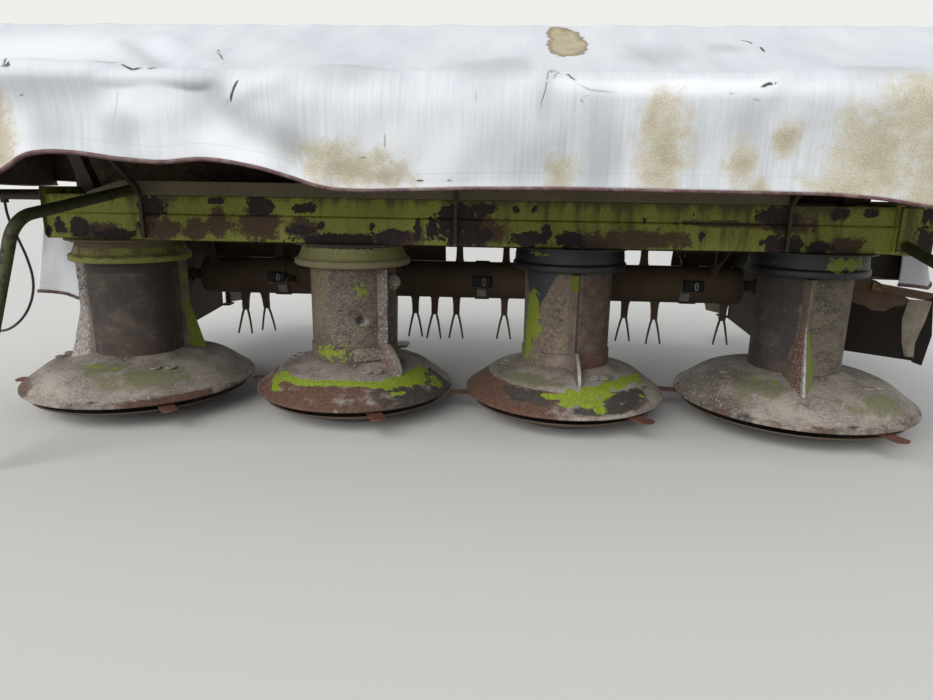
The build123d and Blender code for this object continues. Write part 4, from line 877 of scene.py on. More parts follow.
KICKER = (
    (0.134, 0.185), (0.236, 0.15), (0.239, 0.172), (0.226, 0.2), (0.204, 0.226), (0.18, 0.244),
    (0.134, 0.244),
)
for (number, rib_azimuth, banded), x in zip(DRUM_KINDS, DRUM_X):
    heights = np.linspace(BARREL_TOP, BARREL_BASE, 62)
    sides = 180
    turn = np.linspace(0, 360, sides, endpoint=False)
    wall = BARREL_R - 0.0007 * (1 + waves(turn[None] / 60, heights[:, None] * 8, 0.6, 3, number)) / 2
    if banded:
        step = np.clip((0.2325 - heights[:, None]) / 0.002, 0, 1)
        wall = wall + 0.004 * step
    if number == 2:
        hit = ((turn[None] - 291) / 5.5) ** 2 + ((heights[:, None] - 0.318) / 0.013) ** 2
        wall = wall - 0.012 * np.exp(-hit)
    angle = np.radians(turn)
    barrel_points = np.stack(
        [x + wall * np.cos(angle), wall * np.sin(angle), np.broadcast_to(heights[:, None], wall.shape)], -1
    )
    top = turned_part(
        [(BARREL_R, 0.52), (0.04, 0.52), (0.04, 0.5555), (0, 0.5555)], (x, 0, 0), sides=sides,
    )
    bottom = turned_part([(0, BARREL_BASE), (BARREL_R + 0.004 * banded, BARREL_BASE)], (x, 0, 0), sides=sides)
    parts = [(barrel_points, quads(len(heights), sides, False, True), 0), top, bottom]
    for azimuth in (rib_azimuth, rib_azimuth + 180):
        parts += angle_rib(x, azimuth, *FEET.get(number, ()))
        if banded:
            shift = -3 if number == 2 else 2
            parts += radial_plate(x, azimuth + shift, KICKER, 0.01, (1, 2, 3, 4))
            around = np.linspace(azimuth - 40, azimuth + shift, 12)
            plate_z, plate_r = (0.191, 0.231), (0.1405, 0.1475)
            grid = np.array([(plate_r[i], plate_z[j]) for i, j in ((0, 0), (1, 0), (1, 1), (0, 1))])
            parts += capped(at_azimuth(x, around[:, None], grid[None, :, 0], 0.0, grid[None, :, 1]), 1)
    if number == 2:
        lug = [(0, 0.008), (0.022, 0.008), (0.025, 0.005), (0.025, -0.008), (0, -0.008)]
        parts.append(turned_part(lug, (x + 0.137, -0.058, 0.432), (0.15, -1, 0), 28, 0, 1))
    looks = drum_fields(barrel_looks[number], number)
    rib_fields = drum_fields(rib_looks[number], number)

    def on_barrel(key, number=number, looks=looks, rib_fields=rib_fields):
        """The barrel's look inside its own wall, and the ribs' look outside it."""
        wall_look, rib_look = looks[key], rib_fields.get(key)
        if rib_look is None:
            return wall_look
        return lambda p: np.where(round_drum(p, number)[1] > BARREL_R + 0.006, rib_look(p), wall_look(p))

    piece(
        f"drum_{number}_barrel_steel",
        parts,
        [barrel_steel, rib_steel, worn_bright],
        f"drum_{number}",
        [f"drum_{number}_barrel"],
        "rusted_steel",
        {key: on_barrel(key) for key in looks},
        sharp=35,
    )

# Cutting discs: pressed steel cones with a steep skirt, bolted under the barrels.
# Their tops are grey-brown and worn by crop, the skirts are dark red with rust, and lime paint is left in the
# crease.
DISC_R = (0.364, 0.322, 0.322, 0.364)
CREASE_INSET = 0.087
disc_steel = aged(
    "crop_worn_disc_steel", ("#A99F95", "#665C54", "#CAC1B7"), 0.045, 0.0032, 0.74,
    patches=[
        ("red", "#543B31", "#6E5140", 0.014, 0.55, 0.25, 0.8, 0.0002),
        ("dark", "#3A3431", "#4F463F", 0.016, 0.6, 0.2, 0.7, 0.0),
        ("moss", "#86826A", "#76724F", 0.016, 0.8, 0.3, 0.8, 0.0),
        ("lime", "#96A82B", "#74842A", 0.009, 0.62, 0.06, 0.65, 0.0002),
        ("pale", "#BBB1A6", "#9A9085", 0.004, 0.5, 0.25, 0.7, 0.0),
    ],
    rise=0.0009, coords="polar",
)
disc_looks = {
    1: {
        "lime": blotches(
            [(255, 0.205, 4, 0.01), (264, 0.21, 4, 0.009), (278, 0.215, 3, 0.008), (312, 0.245, 2, 0.006)]
        ),
        "moss": lambda a, r: blotches([(300, 0.28, 30, 0.06), (270, 0.22, 30, 0.05)], -0.5)(a, r) - 0.25,
        "red": blotches([(212, 0.352, 22, 0.022), (310, 0.358, 22, 0.014)], -0.5),
        "dark": lambda a, r: -0.45 + 0.3 * (r > 0.345),
    },
    2: {
        "lime": lambda a, r: np.maximum(
            np.where(
                (a > 216) & (a < 350),
                1 - np.abs(r - 0.245 - 0.006 * np.sin(np.radians(5 * a))) / (0.01 + 0.007 * (a > 300)), -0.9,
            ),
            blotches(
                [
                    (216, 0.262, 9, 0.026), (330, 0.25, 16, 0.026), (345, 0.285, 6, 0.018),
                    (309, 0.285, 5, 0.006), (224, 0.288, 5, 0.01),
                ]
            )(a, r),
        ),
        "moss": lambda a, r: -0.5,
        "red": lambda a, r: np.where(r > 0.25, 0.4 - 0.0075 * np.abs(a - 250) + 0.1 * (r > 0.3), -0.6),
        "dark": lambda a, r: np.where(r > 0.25, np.clip((a - 288) / 22, -1, 1) * 0.35 - 0.08, -0.5),
    },
    3: {
        "lime": blotches([
            (258, 0.262, 8, 0.008), (270, 0.262, 7, 0.02), (281, 0.27, 9, 0.024), (290, 0.245, 12, 0.022),
            (305, 0.232, 14, 0.02),
            (322, 0.228, 14, 0.018), (338, 0.24, 10, 0.018), (286, 0.296, 4, 0.012), (268, 0.284, 5, 0.008),
            (322, 0.282, 2, 0.006),
        ]),
        "moss": lambda a, r: blotches([(238, 0.21, 30, 0.04)], -0.5)(a, r) - 0.2,
        "red": lambda a, r: np.where(
            r > 0.25, np.clip((262 - a) / 20, -1, 1) * 0.45, -0.6,
        ) + 0.15 * (r > 0.31),
        "dark": blotches([(310, 0.275, 22, 0.02), (294, 0.3, 24, 0.016), (240, 0.27, 20, 0.02)], -0.5),
    },
    4: {
        "lime": blotches([(217, 0.205, 4, 0.008), (234, 0.205, 4, 0.008)]),
        "moss": lambda a, r: blotches([(225, 0.25, 26, 0.07), (300, 0.3, 24, 0.05)], -0.5)(a, r) - 0.3,
        "red": lambda a, r: -0.5 + 0.35 * (r > 0.35),
        "dark": lambda a, r: -0.36 + 0.25 * (r > 0.345),
    },
}
for number, (x, radius) in enumerate(zip(DRUM_X, DISC_R), 1):
    crease = radius - CREASE_INSET
    soft = 0.03 if number in (1, 4) else 0.012
    profile = eased(
        [
            (0.0, 0.1835), (0.134, 0.1835), (BARREL_R + 0.005, 0.181), (crease, 0.154),
            (radius - 0.006, 0.0925), (radius, 0.088),
            (radius, 0.081), (radius - 0.003, 0.08), (radius - 0.08, 0.08), (radius - 0.08, 0.085),
            (radius - 0.018, 0.085),
            (crease - 0.004, 0.144), (0.133, 0.174), (0.06, 0.174), (0.06, 0.095), (0.022, 0.095),
            (0.022, 0.03), (0, 0.03),
        ],
        soft,
        5,
    )
    profile = fine(profile, 0.008)
    sides = 160
    disc_points = turned(profile, (x, 0, 0), sides=sides)
    outer = (np.arange(len(profile)) < 60) & (profile[:, 0] > BARREL_R + 0.01)
    turn = np.linspace(0, 2 * np.pi, sides, endpoint=False)
    worn = waves(
        profile[:, None, 0] * 10 + 0 * turn, turn[None] * 2 + 0 * profile[:, :1], 0.8, 4, 20 + number,
    )
    disc_points[..., 2] += np.where(outer[:, None], 0.001 * (worn - 1), 0)
    parts = [(disc_points, quads(len(profile), sides, False, True), 0)]
    for group in range(3):
        for azimuth, at in ((293, 0.193), (303, 0.197)) if number in (2, 3) else ((308, 0.236), (318, 0.248)):
            spot = at_azimuth(
                x, azimuth + 120 * group, at, 0.0, 0.1835 - (at - 0.142) * 0.027 / (crease - 0.142) - 0.0005,
            )
            dish = [
                (0, 0.0005), (0.0095, 0.0012), (0.0125, 0.003), (0.015, 0.0022), (0.0165, -0.001),
                (0, -0.002),
            ]
            parts.append(turned_part(dish, spot, (0, 0, 1), 20, 0, 0))
    looks = disc_looks[number]

    def on_disc(look, number=number):
        """One look, a function of azimuth and radius, as a field; the underside stays plain."""
        return lambda p: np.where(p[:, 2] > 0.076, look(*round_drum(p, number)) + np.zeros(len(p)), -0.6)

    fields = {key: on_disc(look) for key, look in looks.items()}
    # The steel is brushed round by the crop: its patterns are drawn out along the circles.
    fields["polar"] = lambda p, number=number: np.stack(
        [
            *(0.16 * trig(np.radians(round_drum(p, number)[0])) for trig in (np.cos, np.sin)),
            1.0 * round_drum(p, number)[1],
        ], -1
    )
    piece(
        f"drum_{number}_disc_steel", parts, [disc_steel], f"drum_{number}", [f"drum_{number}_disc"],
        "rusted_steel",
        {**fields, "pale": -0.41}, sharp=40,
    )

# Knives: flat spring-steel blades held under the rims by one bolt each, bright rust-red where they have stood
# wet.
knife_steel = aged(
    "rusted_spring_steel_blade", ("#6C4436", "#54352A", "#8A5C48"), 0.02, 0.0015, 0.75, rise=0.0006,
)
for number, (x, radius, first) in enumerate(zip(DRUM_X, DISC_R, (68, 52, 68, 52)), 1):
    softened(
        f"drum_{number}_knives", f"drum_{number}", knife_steel, "rusted_steel", edge=0.0008,
        edge_metal=knife_steel,
    )
    nuts = []
    for azimuth in (first, first + 120, first + 240):
        nuts += hex_bolts([at_azimuth(x, azimuth, radius - 0.042, 0.0, 0.0665)], (0, 0, -1), 0.016)
    piece(f"drum_{number}_knife_nuts", nuts, [rusty_zinc], f"drum_{number}", slot="rusted_steel")

# Skid dishes: shallow pressed dishes that run free under the discs, scoured by soil and filmed with fresh
# rust.
skid_steel = aged(
    "soil_scoured_steel", ("#5B4A3E", "#483A31", "#7A6A5C"), 0.05, 0.002, 0.6,
    patches=[("mud", "#6B5E4C", "#574A3A", 0.03, 0.5, 0.3, 0.9, 0.0006)],
)
for number, (x, radius) in enumerate(zip(DRUM_X, DISC_R), 1):
    rim = radius - 0.025
    profile = eased(
        [
            (0, 0), (0.17, 0), (rim, 0.055), (rim + 0.0002, 0.061), (0.168, 0.006), (0.06, 0.006),
            (0.06, 0.09), (0.0223, 0.09), (0.0223, 0.025), (0, 0.025),
        ],
        0.008,
        4,
    )
    ring = turned_part(fine(profile, 0.01), (x, 0, 0), sides=120)
    piece(
        f"drum_{number}_skid_dish", [ring], [skid_steel], f"skid_{number}", [f"drum_{number}_skid"],
        "rusted_steel", {"mud": -0.05},
    )

# Main frame: a square cross tube behind and above the beam on four gussets, with the bevel gearbox under it.
# All of it is welded and painted lime; from behind, its paint is thicker and duller than on the beam's front.
frame_fields = {"flaked": -0.46, "grime": -0.2, "film": -0.12, "scratched": -2.5}
softened("cross_tube", "carrier", lime_enamel, "green_paint", frame_fields, edge=0.0015)
softened("frame_gussets", "carrier", lime_enamel, "green_paint", frame_fields, edge=0.0012)
softened(
    "input_gearbox", "carrier", lime_enamel, "green_paint", {**frame_fields, "flaked": -0.34, "grime": 0.0},
    edge=0.003,
)
GUSSET_X = (-0.9, -0.3, 0.3, 0.9)
# Where the input shaft leaves the gearbox's rear face
INPUT_PLACE = (0, 0.4, 0.7)


def wire(path, radius, sides=7, kind=1, helper=(0.21, 0.93, 0.31)):
    """Round wire along a path, closed at both ends: at each point a circle of the radius, square to the path.
    Its first direction is square to the path and to the helper, which no path runs along."""
    path = np.asarray(path, float)
    along = np.gradient(path, axis=0)
    along /= np.linalg.norm(along, axis=1)[:, None]
    side = np.cross(along, helper)
    side /= np.linalg.norm(side, axis=1)[:, None]
    up = np.cross(along, side)
    turn = np.linspace(0, 2 * np.pi, sides, endpoint=False)
    radius = np.broadcast_to(radius, len(path))[:, None, None]
    circle = np.cos(turn)[:, None] * side[:, None] + np.sin(turn)[:, None] * up[:, None]
    return capped(path[:, None] + radius * circle, kind)


def weld_bead(path, radius=0.004, seed=1):
    """Weld bead along a path: a six-sided wire whose radius ripples with the overlapping puddles."""
    path = fine(path, 0.004)
    ripple = 1 + 0.18 * np.cos(np.arange(len(path)) * 1.9 + seed)
    return wire(path, radius * ripple, 6, 0, (0.37, 0.58, 0.72))


beads = []
for x in GUSSET_X:
    for side in (-0.006, 0.006):
        beads += weld_bead([(x + side, 0.1305, 0.584), (x + side, 0.1305, 0.682)])
        beads += weld_bead([(x + side, 0.3095, 0.815), (x + side, 0.3095, 0.885)])
gearbox_screws = hex_bolts(
    [(x, 0.4, z) for x in (-0.105, 0.105) for z in (0.66, 0.76)] + [
        (0.07 * np.cos(a), 0.4, 0.7 + 0.07 * np.sin(a))
        for a in (0.5, 1.6, 2.6, 3.7, 4.7, 5.8)
    ],
    (0, 1, 0),
    0.016,
)
seal_ring = [
    (0.027, 0.0), (0.052, 0.0), (0.052, 0.006), (0.047, 0.008), (0.03, 0.008), (0.027, 0.006), (0.027, 0.0),
]
gearbox_screws += [turned_part(seal_ring, INPUT_PLACE, (0, 1, 0), 40)]
piece("frame_welds", beads, [lime_enamel], "carrier", slot="green_paint", fields=frame_fields)
piece("gearbox_screws", gearbox_screws, [rusty_zinc], "carrier", slot="rusted_steel")

# Input stub: ground steel shaft with six splines, greased and lightly rusted, where the drive shaft slides
# on.
SPLINE_R, SPLINE_ROOT_R = 0.0175, 0.0148
shaft_steel = aged(
    "machined_shaft_steel", ("#8E8B86", "#77736D", "#A3A09A"), 0.03, 0.0012, 0.4, metallic=0.9, rise=0.0001,
)
turn = np.linspace(0, 2 * np.pi, 96, endpoint=False)
tooth = np.clip(np.cos(6 * turn) * 4, -1, 1) * 0.5 + 0.5
along = np.array([0.405, 0.43, 0.433, 0.433, 0.488, 0.491, 0.495, 0.515, 0.518, 0.52])
depth = np.array([0.0, 0.0, 0.5, 1.0, 1.0, 1.0, 1.0, 1.0, 1.0, 1.0])
shrink = np.array([1, 1, 1, 1, 1, 0.9, 0.9, 1, 0.97, 0.9])
radius = (SPLINE_R - (SPLINE_R - SPLINE_ROOT_R) * depth[:, None] * (1 - tooth)) * shrink[:, None]
stub = np.stack(
    [radius * np.cos(turn), np.broadcast_to(along[:, None], radius.shape), 0.7 + radius * np.sin(turn)], -1,
)
journal = [(0, -0.07), (0.025, -0.07), (0.025, -0.001), (SPLINE_R, 0.0), (0, 0.0)]
journal = turned_part(journal, INPUT_PLACE, (0, 1, 0), 48)
shoulder = turned_part([(0, 0), (SPLINE_R, 0), (SPLINE_R, 0.006), (0, 0.006)], INPUT_PLACE, (0, 1, 0), 48)
piece(
    "splined_input_stub",
    capped(stub) + [journal, shoulder],
    [shaft_steel],
    "input",
    ["input_shaft"],
    "machined_steel",
    sharp=28,
)

# Headstock: two link brackets with pins, a mast of two ears and a brace to each bracket, cut from thick
# plate.
softened(
    "link_brackets", "carrier", lime_enamel, "green_paint", {**frame_fields, "flaked": -0.34}, edge=0.002,
)
softened("top_link_mast", "carrier", lime_enamel, "green_paint", frame_fields, edge=0.0015)
softened("mast_braces", "carrier", lime_enamel, "green_paint", frame_fields, edge=0.0015)
LINK_HALF, LINK_PIN_Y, LINK_PIN_Z = 0.4125, 1.05, 0.52
pin_parts = []
for side in (-1, 1):
    collar = [(0.0142, 0.0), (0.024, 0.0), (0.024, 0.008), (0.021, 0.01), (0.0142, 0.01), (0.0142, 0.0)]
    pin_parts.append(turned_part(collar, (side * LINK_HALF, LINK_PIN_Y, LINK_PIN_Z), (side, 0, 0), 32))
    clip_x = side * (LINK_HALF + 0.07)
    turn = np.linspace(0, 1.75 * np.pi, 30)
    clip = [clip_x + 0 * turn, LINK_PIN_Y + 0.02 * np.cos(turn), LINK_PIN_Z + 0.02 * np.sin(turn)]
    clip = np.stack(clip, -1)
    pin_parts += weld_bead(clip, 0.0022, 0)
piece("link_pin_collars", pin_parts, [rusty_zinc], "carrier", slot="rusted_steel")
beads = []
for side in (-1, 1):
    for x, y, low, high, radius in (
        (LINK_HALF, 0.4105, 0.8, 0.895, 0.005),
        (0.3925, 0.4105, 0.8, 0.895, 0.005),
        (0.0405, 0.4105, 0.815, 0.895, 0.004),
        (0.3925, 0.6125, 0.7, 0.765, 0.004),
    ):
        beads += weld_bead([(side * x, y, low), (side * x, y, high)], radius)
piece("headstock_welds", beads, [lime_enamel], "carrier", slot="green_paint", fields=frame_fields)

# Conditioner: side plates, bent hood, bearing housings, a pressed drive cover on the right and a deflector
# flap.
# The hood and plates are lime enamel under brown dust outside, and bare rust where the crop has run.
dusty_enamel = aged(
    "dusty_lime_enamel", ("#615C3C", "#584E3A", "#6E6A42"), 0.1, 0.003, 0.75,
    patches=[("flaked", "#42352B", "#54463A", 0.02, 0.45, 0.5, 0.8, -0.0002)],
    stretch=(1, 1, 0.3),
)
softened("conditioner_side_plates", "carrier", dusty_enamel, "green_paint", {"flaked": 0.35}, edge=0.0012)
softened("conditioner_hood", "carrier", dusty_enamel, "green_paint", {"flaked": 0.0}, edge=0.001)
softened("rotor_bearings", "carrier", dusty_enamel, "green_paint", {"flaked": -0.1}, edge=0.003)
softened(
    "conditioner_drive_cover", "carrier", lime_enamel, "green_paint",
    {**frame_fields, "flaked": -0.36, "grime": 0.0}, edge=0.004,
)
# The deflector flap is rusty sheet: lighter brown above, and painted near black below a slanting line,
# as a painted shadow; one amber patch.
deflector_sheet = aged(
    "rusty_deflector_sheet", ("#6B5443", "#523F33", "#83705C"), 0.06, 0.003, 0.75,
    patches=[
        # Painted shadow: near black and matt, below the slanting line.
        ("painted_shade", "#0F0C0A", "#2A211C", 0.03, 0.4, 0.12, 0.95, 0.0),
        ("amber", "#C08A35", "#8F6A35", 0.006, 0.45, 0.1, 0.7, 0.0),
    ],
)
deflector_fields = {
    # Where the painted shadow lies: below a line that slants across the lower part of the flap.
    "painted_shade": lambda p: 22 * (
        0.293 + 0.62 * (p[:, 0] - 1.453) - p[:, 2]
    ) * (p[:, 0] > 1.3) - 0.3 * (p[:, 0] < 1.36),
    "amber": lambda p: blotches([(1.417, 0.411, 0.03, 0.02)])(p[:, 0], p[:, 2]),
}
softened("right_deflector", "carrier", deflector_sheet, "black_paint", deflector_fields, edge=0.001)
strip_x = np.interp(np.linspace(0, 1, 30), (0, 0.35, 0.75, 1), (1.583, 1.574, 1.57, 1.579))
strip_z = np.linspace(0.372, 0.17, 30)
strip_half = np.interp(strip_z, (0.17, 0.22, 0.3, 0.37), (0.013, 0.019, 0.032, 0.033))
strip_y = 0.36 - 0.3684 * (strip_x - 1.22) - 0.012
strip_across = np.array(
    [(-1.0, 0.0, 1), (-0.6, -0.006, 1), (0.6, -0.006, 1), (1.0, 0.0, 1), (1.0, 0.003, 1), (-1.0, 0.003, 1)]
)
strip_points = np.stack(
    [
        strip_x[:, None] + strip_half[:, None] * strip_across[:, 0],
        strip_y[:, None] - 0.3684 * strip_half[:, None] * strip_across[:, 0] + strip_across[:, 1],
        strip_z[:, None] + 0 * strip_across[:, 0],
    ],
    -1,
)
strip_steel = aged("pale_worn_strip_steel", ("#A69A8C", "#857868", "#C2B8AB"), 0.03, 0.003, 0.6)
piece(
    "deflector_edge_strip",
    capped(strip_points),
    [strip_steel], "carrier", slot="rusted_steel",
)
bearing_screws = []
for side in (-1, 1):
    spots = [
        (side * 1.17, 0.5 + 0.038 * np.cos(a), 0.37 + 0.038 * np.sin(a))
        for a in (0.8, 2.35, 3.93, 5.5)
    ]
    bearing_screws += hex_bolts(spots, (side, 0, 0), 0.01, 0, False) if side < 0 else []
    bearing_screws += hex_bolts(
        [(side * 1.134, y, z) for y, z in ((0.16, 0.6), (0.16, 0.66), (0.36, 0.78))], (side, 0, 0), 0.014,
    )
bearing_screws += hex_bolts(
    [(1.24, y, z) for y, z in ((0.405, 0.36), (0.405, 0.76), (0.585, 0.76), (0.61, 0.4), (0.5, 0.3))],
    (1, 0, 0), 0.012,
)
piece("conditioner_screws", bearing_screws, [rusty_zinc], "carrier", slot="rusted_steel")

# Rotor: a tube with V-shaped tines on flat posts, and three clamps with an eye and a block at its front.
# It has rusted to an even dull brown, and the tines are round spring wire.
ROTOR_Y, ROTOR_Z, ROTOR_R = 0.5, 0.37, 0.072
ROTOR_HALF, ROTOR_SHAFT_HALF = 1.06, 1.1697
TINES = (
    (-1.012, 120), (-0.905, 262), (-0.833, 280), (-0.76, 90), (-0.69, 180), (-0.62, 330), (-0.55, 60),
    (-0.48, 200), (-0.41, 300), (-0.33, 20), (-0.27, 140), (-0.211, 272), (-0.13, 258), (-0.044, 268),
    (-0.033, 90), (0.149, 270), (0.151, 88), (0.23, 150), (0.31, 30), (0.39, 210), (0.47, 320),
    (0.55, 100), (0.629, 275), (0.69, 88), (0.742, 264), (0.87, 40), (0.94, 140), (1.012, 270),
)
rotor_steel = aged(
    "rusted_rotor_steel", ("#715C4A", "#56453A", "#8A7460"), 0.08, 0.003, 0.8,
    patches=[("mud", "#77684F", "#665842", 0.02, 0.5, 0.3, 0.9, 0.0008)],
)
spring_wire = aged("rusted_spring_wire", ("#75604D", "#57473A", "#97866F"), 0.03, 0.002, 0.6)
shell = turned_part(
    fine(
        [
            (0, -ROTOR_SHAFT_HALF), (0.02, -ROTOR_SHAFT_HALF), (0.02, -ROTOR_HALF - 0.001),
            (ROTOR_R - 0.002, -ROTOR_HALF), (ROTOR_R, -ROTOR_HALF + 0.002), (ROTOR_R, ROTOR_HALF - 0.002),
            (ROTOR_R - 0.002, ROTOR_HALF), (0.02, ROTOR_HALF + 0.001), (0.02, ROTOR_SHAFT_HALF),
            (0, ROTOR_SHAFT_HALF),
        ],
        0.02,
    ),
    (0, ROTOR_Y, ROTOR_Z), (1, 0, 0), 56,
)
piece(
    "rotor_tube_steel", [shell], [rotor_steel], "rotor", ["rotor_tube"], "rusted_steel",
    {"mud": lambda p: -0.25 + 0.2 * np.sin(9 * p[:, 0])},
)


def on_rotor(x, azimuth, out, sideways=0.0, along=0.0):
    """Point at a distance out from the rotor's axis along its azimuth (90 up), and sideways round it."""
    turn = np.radians(azimuth)
    out, sideways, along = np.broadcast_arrays(out, sideways, along)
    y = ROTOR_Y + out * np.cos(turn) - sideways * np.sin(turn)
    z = ROTOR_Z + out * np.sin(turn) + sideways * np.cos(turn)
    return np.stack([x + along, y, z], -1)


tine_parts = []
for x, azimuth in TINES:
    rise = np.array([0.07, 0.08, 0.105, 0.135, 0.142])
    half_x = np.array([0.0175, 0.0145, 0.013, 0.0125, 0.0105])
    half_round = np.array([0.015, 0.012, 0.008, 0.0065, 0.005])
    corner = np.array([(-1, -1), (1, -1), (1, 1), (-1, 1)])
    post = on_rotor(
        x, azimuth, rise[:, None], half_round[:, None] * corner[:, 1], half_x[:, None] * corner[:, 0],
    )
    tine_parts += capped(post)
    tine_parts += hex_bolts(
        [on_rotor(x, azimuth, 0.124, side * 0.007) for side in (-1, 1)][:1],
        on_rotor(0, azimuth, 0, -1) - on_rotor(0, azimuth, 0), 0.01, 1, False,
    )
    for side in (-1, 1):
        out = np.array([0.128, 0.144, 0.165, 0.2, 0.2385])
        spread = side * np.array([0.006, 0.009, 0.0145, 0.0215, 0.028])
        bow = np.array([0.0, 0.0, -0.001, -0.003, -0.007])
        tine_parts += wire(
            on_rotor(x, azimuth, out, bow, spread), np.array([0.0048, 0.0048, 0.0045, 0.0042, 0.0036]),
        )
piece(
    "rotor_tine_posts", tine_parts, [rotor_steel, spring_wire], "rotor", ["rotor_tines"], "spring_steel",
    {"mud": -0.3}, sharp=30,
)
clamp_parts = []
for x, aside in ((-0.746, 0.02), (0.058, 0.0), (0.866, -0.03)):
    turn = np.radians(np.linspace(0, 360, 40, endpoint=False))
    band = np.array([(0.0722, -0.028), (0.0765, -0.028), (0.0765, 0.028), (0.0722, 0.028)])
    ring = np.stack(
        [
            x + band[None, :, 1] + 0 * turn[:, None], ROTOR_Y + band[None, :, 0] * np.cos(turn)[:, None],
            ROTOR_Z + band[None, :, 0] * np.sin(turn)[:, None],
        ],
        -1,
    )
    clamp_parts.append((ring, quads(40, 4, True, True), 0))
    block = np.array([(-1, -1), (1, -1), (1, 1), (-1, 1)])
    levels = np.array([0.066, 0.09, 0.093])
    wide, tall = np.array([0.037, 0.036, 0.032]), np.array([0.021, 0.02, 0.017])
    shoe = on_rotor(x, 177, levels[:, None], tall[:, None] * block[:, 1], wide[:, None] * block[:, 0])
    clamp_parts += capped(shoe, 2)
    turn = np.linspace(0, 2 * np.pi, 24, endpoint=False)
    eye = np.stack(
        [
            x + 0.008 + 0.005 * np.cos(turn), ROTOR_Y - 0.0945 + 0 * turn,
            ROTOR_Z + 0.004 + 0.015 * np.sin(turn),
        ],
        -1,
    )
    inner = np.linspace(0, 2 * np.pi, 8, endpoint=False)
    outward = np.stack([np.cos(turn), 0 * turn, np.sin(turn)], -1)
    hoop = eye[:, None] + 0.0024 * (
        np.cos(inner)[None, :, None] * outward[:, None] + np.sin(inner)[None, :, None] * np.array((0, 1.0, 0))
    )
    clamp_parts.append((hoop, quads(24, 8, True, True), 1))
    pale = on_rotor(
        x + aside, 207, levels[:, None], tall[:, None] * 0.8 * block[:, 1], wide[:, None] * 0.5 * block[:, 0],
    )
    clamp_parts += capped(pale, 1)
dark_rubber = aged("weathered_rubber_shoe", ("#121111", "#1A1818", "#2C2927"), 0.02, 0.002, 0.7, rise=0.0002)
piece(
    "rotor_clamps", clamp_parts, [rotor_steel, worn_bright, dark_rubber], "rotor", slot="rusted_steel",
    fields={"mud": -0.3}, sharp=30,
)

# Swath boards: sheet-steel flaps that swing on upright pins and set the width of the row of cut crop.
for board in ("left_swath_board", "right_swath_board"):
    softened(board, board, dusty_enamel, "green_paint", {"flaked": -0.05}, edge=0.001)

# Parking stands: flat-bar legs with a square foot, which hold up the tractor's side of the mower.
STAND_PIVOT_Y, STAND_PIVOT_Z = 0.92, 0.3
for stand in ("left_parking_stand", "right_parking_stand"):
    softened(stand, stand, black_enamel, "black_paint", {"flaked": -0.05}, edge=0.0015)
for side, word in ((-1, "left"), (1, "right")):
    ring = [(0.0102, 0.0), (0.018, 0.0), (0.018, 0.003), (0.0102, 0.003), (0.0102, 0.0)]
    washer = [turned_part(ring, (side * 0.413, STAND_PIVOT_Y, STAND_PIVOT_Z), (side, 0, 0), 24)]
    washer += hex_bolts([(side * 0.4155, STAND_PIVOT_Y, STAND_PIVOT_Z)], (side, 0, 0), 0.014, 0, False)
    piece(f"{word}_stand_washer", washer, [rusty_zinc], f"{word}_parking_stand", slot="rusted_steel")

# End rails: bent round tube at beam height that holds the side covers and the flaps out from the drums.
# Two small clips under the left one hold the cable; the crop dividers are bent tubes of the same kind in
# lime.
softened("end_rails", "carrier", black_enamel, "black_paint", {"flaked": -0.1}, edge=0.0015)
divider_enamel = aged(
    "divider_lime_enamel", ("#454A26", "#3A3D22", "#565B30"), 0.07, 0.003, 0.6,
    patches=[("flaked", "#2E2620", "#40342B", 0.012, 0.45, 0.08, 0.8, -0.0004)],
)
softened("crop_dividers", "carrier", divider_enamel, "green_paint", {"flaked": -0.08}, 0.0008, divider_enamel)

# Canopy frame: ridge tube, rear rail, roof bars, posts, guard arms and side frames of black-enamelled tube
# and flat.
for name in ("roof_tubes", "roof_bars", "canopy_posts", "side_hinge_rods"):
    softened(name, "carrier", black_enamel, "black_paint", {"flaked": -0.1}, edge=0.0012)
for name in ("front_tube", "guard_arms"):
    softened(name, "front_guard", black_enamel, "black_paint", {"flaked": -0.1}, edge=0.001)
for word in ("left", "right"):
    softened(
        f"{word}_side_frame", f"{word}_side_guard", black_enamel, "black_paint", {"flaked": -0.1}, edge=0.001,
    )

# Roof and front cover: one sheet of PVC-coated polyester tarpaulin over the ridge and the front tube, hemmed
# all round.
# It is stretched from the ridge to the front tube and hangs down in front.
CANVAS_HALF = 1.322
RIDGE_Y, RIDGE_Z, FRONT_TUBE_Y, FRONT_TUBE_Z = -0.3, 1.1, -0.72, 0.93
# How near the cloth comes to the axes of the two tubes, and its height over the ridge
CLOTH_OFF_TUBE, CLOTH_TOP_Z = 0.0228, 1.1262
ROOF_BAR_X = (-1.29, -0.52, 0.52, 1.29)
GUARD_ARM_X = (-1.2, -0.38, 0.38, 1.2)
SLOPE = np.radians(22.56)
SLOPE_LENGTH = 0.4548
CLOTH_THICK = 0.0022
# Height of the front hem along x, and how far round the fall over the front tube is there
HEM_X = (
    -1.322, -1.2, -1.1, -1.0, -0.925, -0.88, -0.821, -0.757, -0.675, -0.58, -0.503, -0.447, -0.372,
    -0.311,
    -0.255, -0.212, -0.143, -0.038, 0.064, 0.258, 0.446, 0.631, 0.779, 0.876, 0.98, 1.1, 1.2, 1.322,
)
HEM_Z = (
    0.726, 0.718, 0.716, 0.722, 0.748, 0.782, 0.789, 0.786, 0.775, 0.768, 0.777, 0.774, 0.761, 0.744,
    0.727, 0.719, 0.718, 0.722, 0.726, 0.728, 0.727, 0.726, 0.725, 0.718, 0.702, 0.698, 0.704, 0.712,
)
TURN_X = (-1.322, -0.6, -0.47, -0.36, -0.2, 0.15, 0.3, 0.65, 0.8, 1.322)
TURN_LENGTH = (0.026, 0.026, 0.034, 0.07, 0.105, 0.1, 0.07, 0.066, 0.088, 0.08)


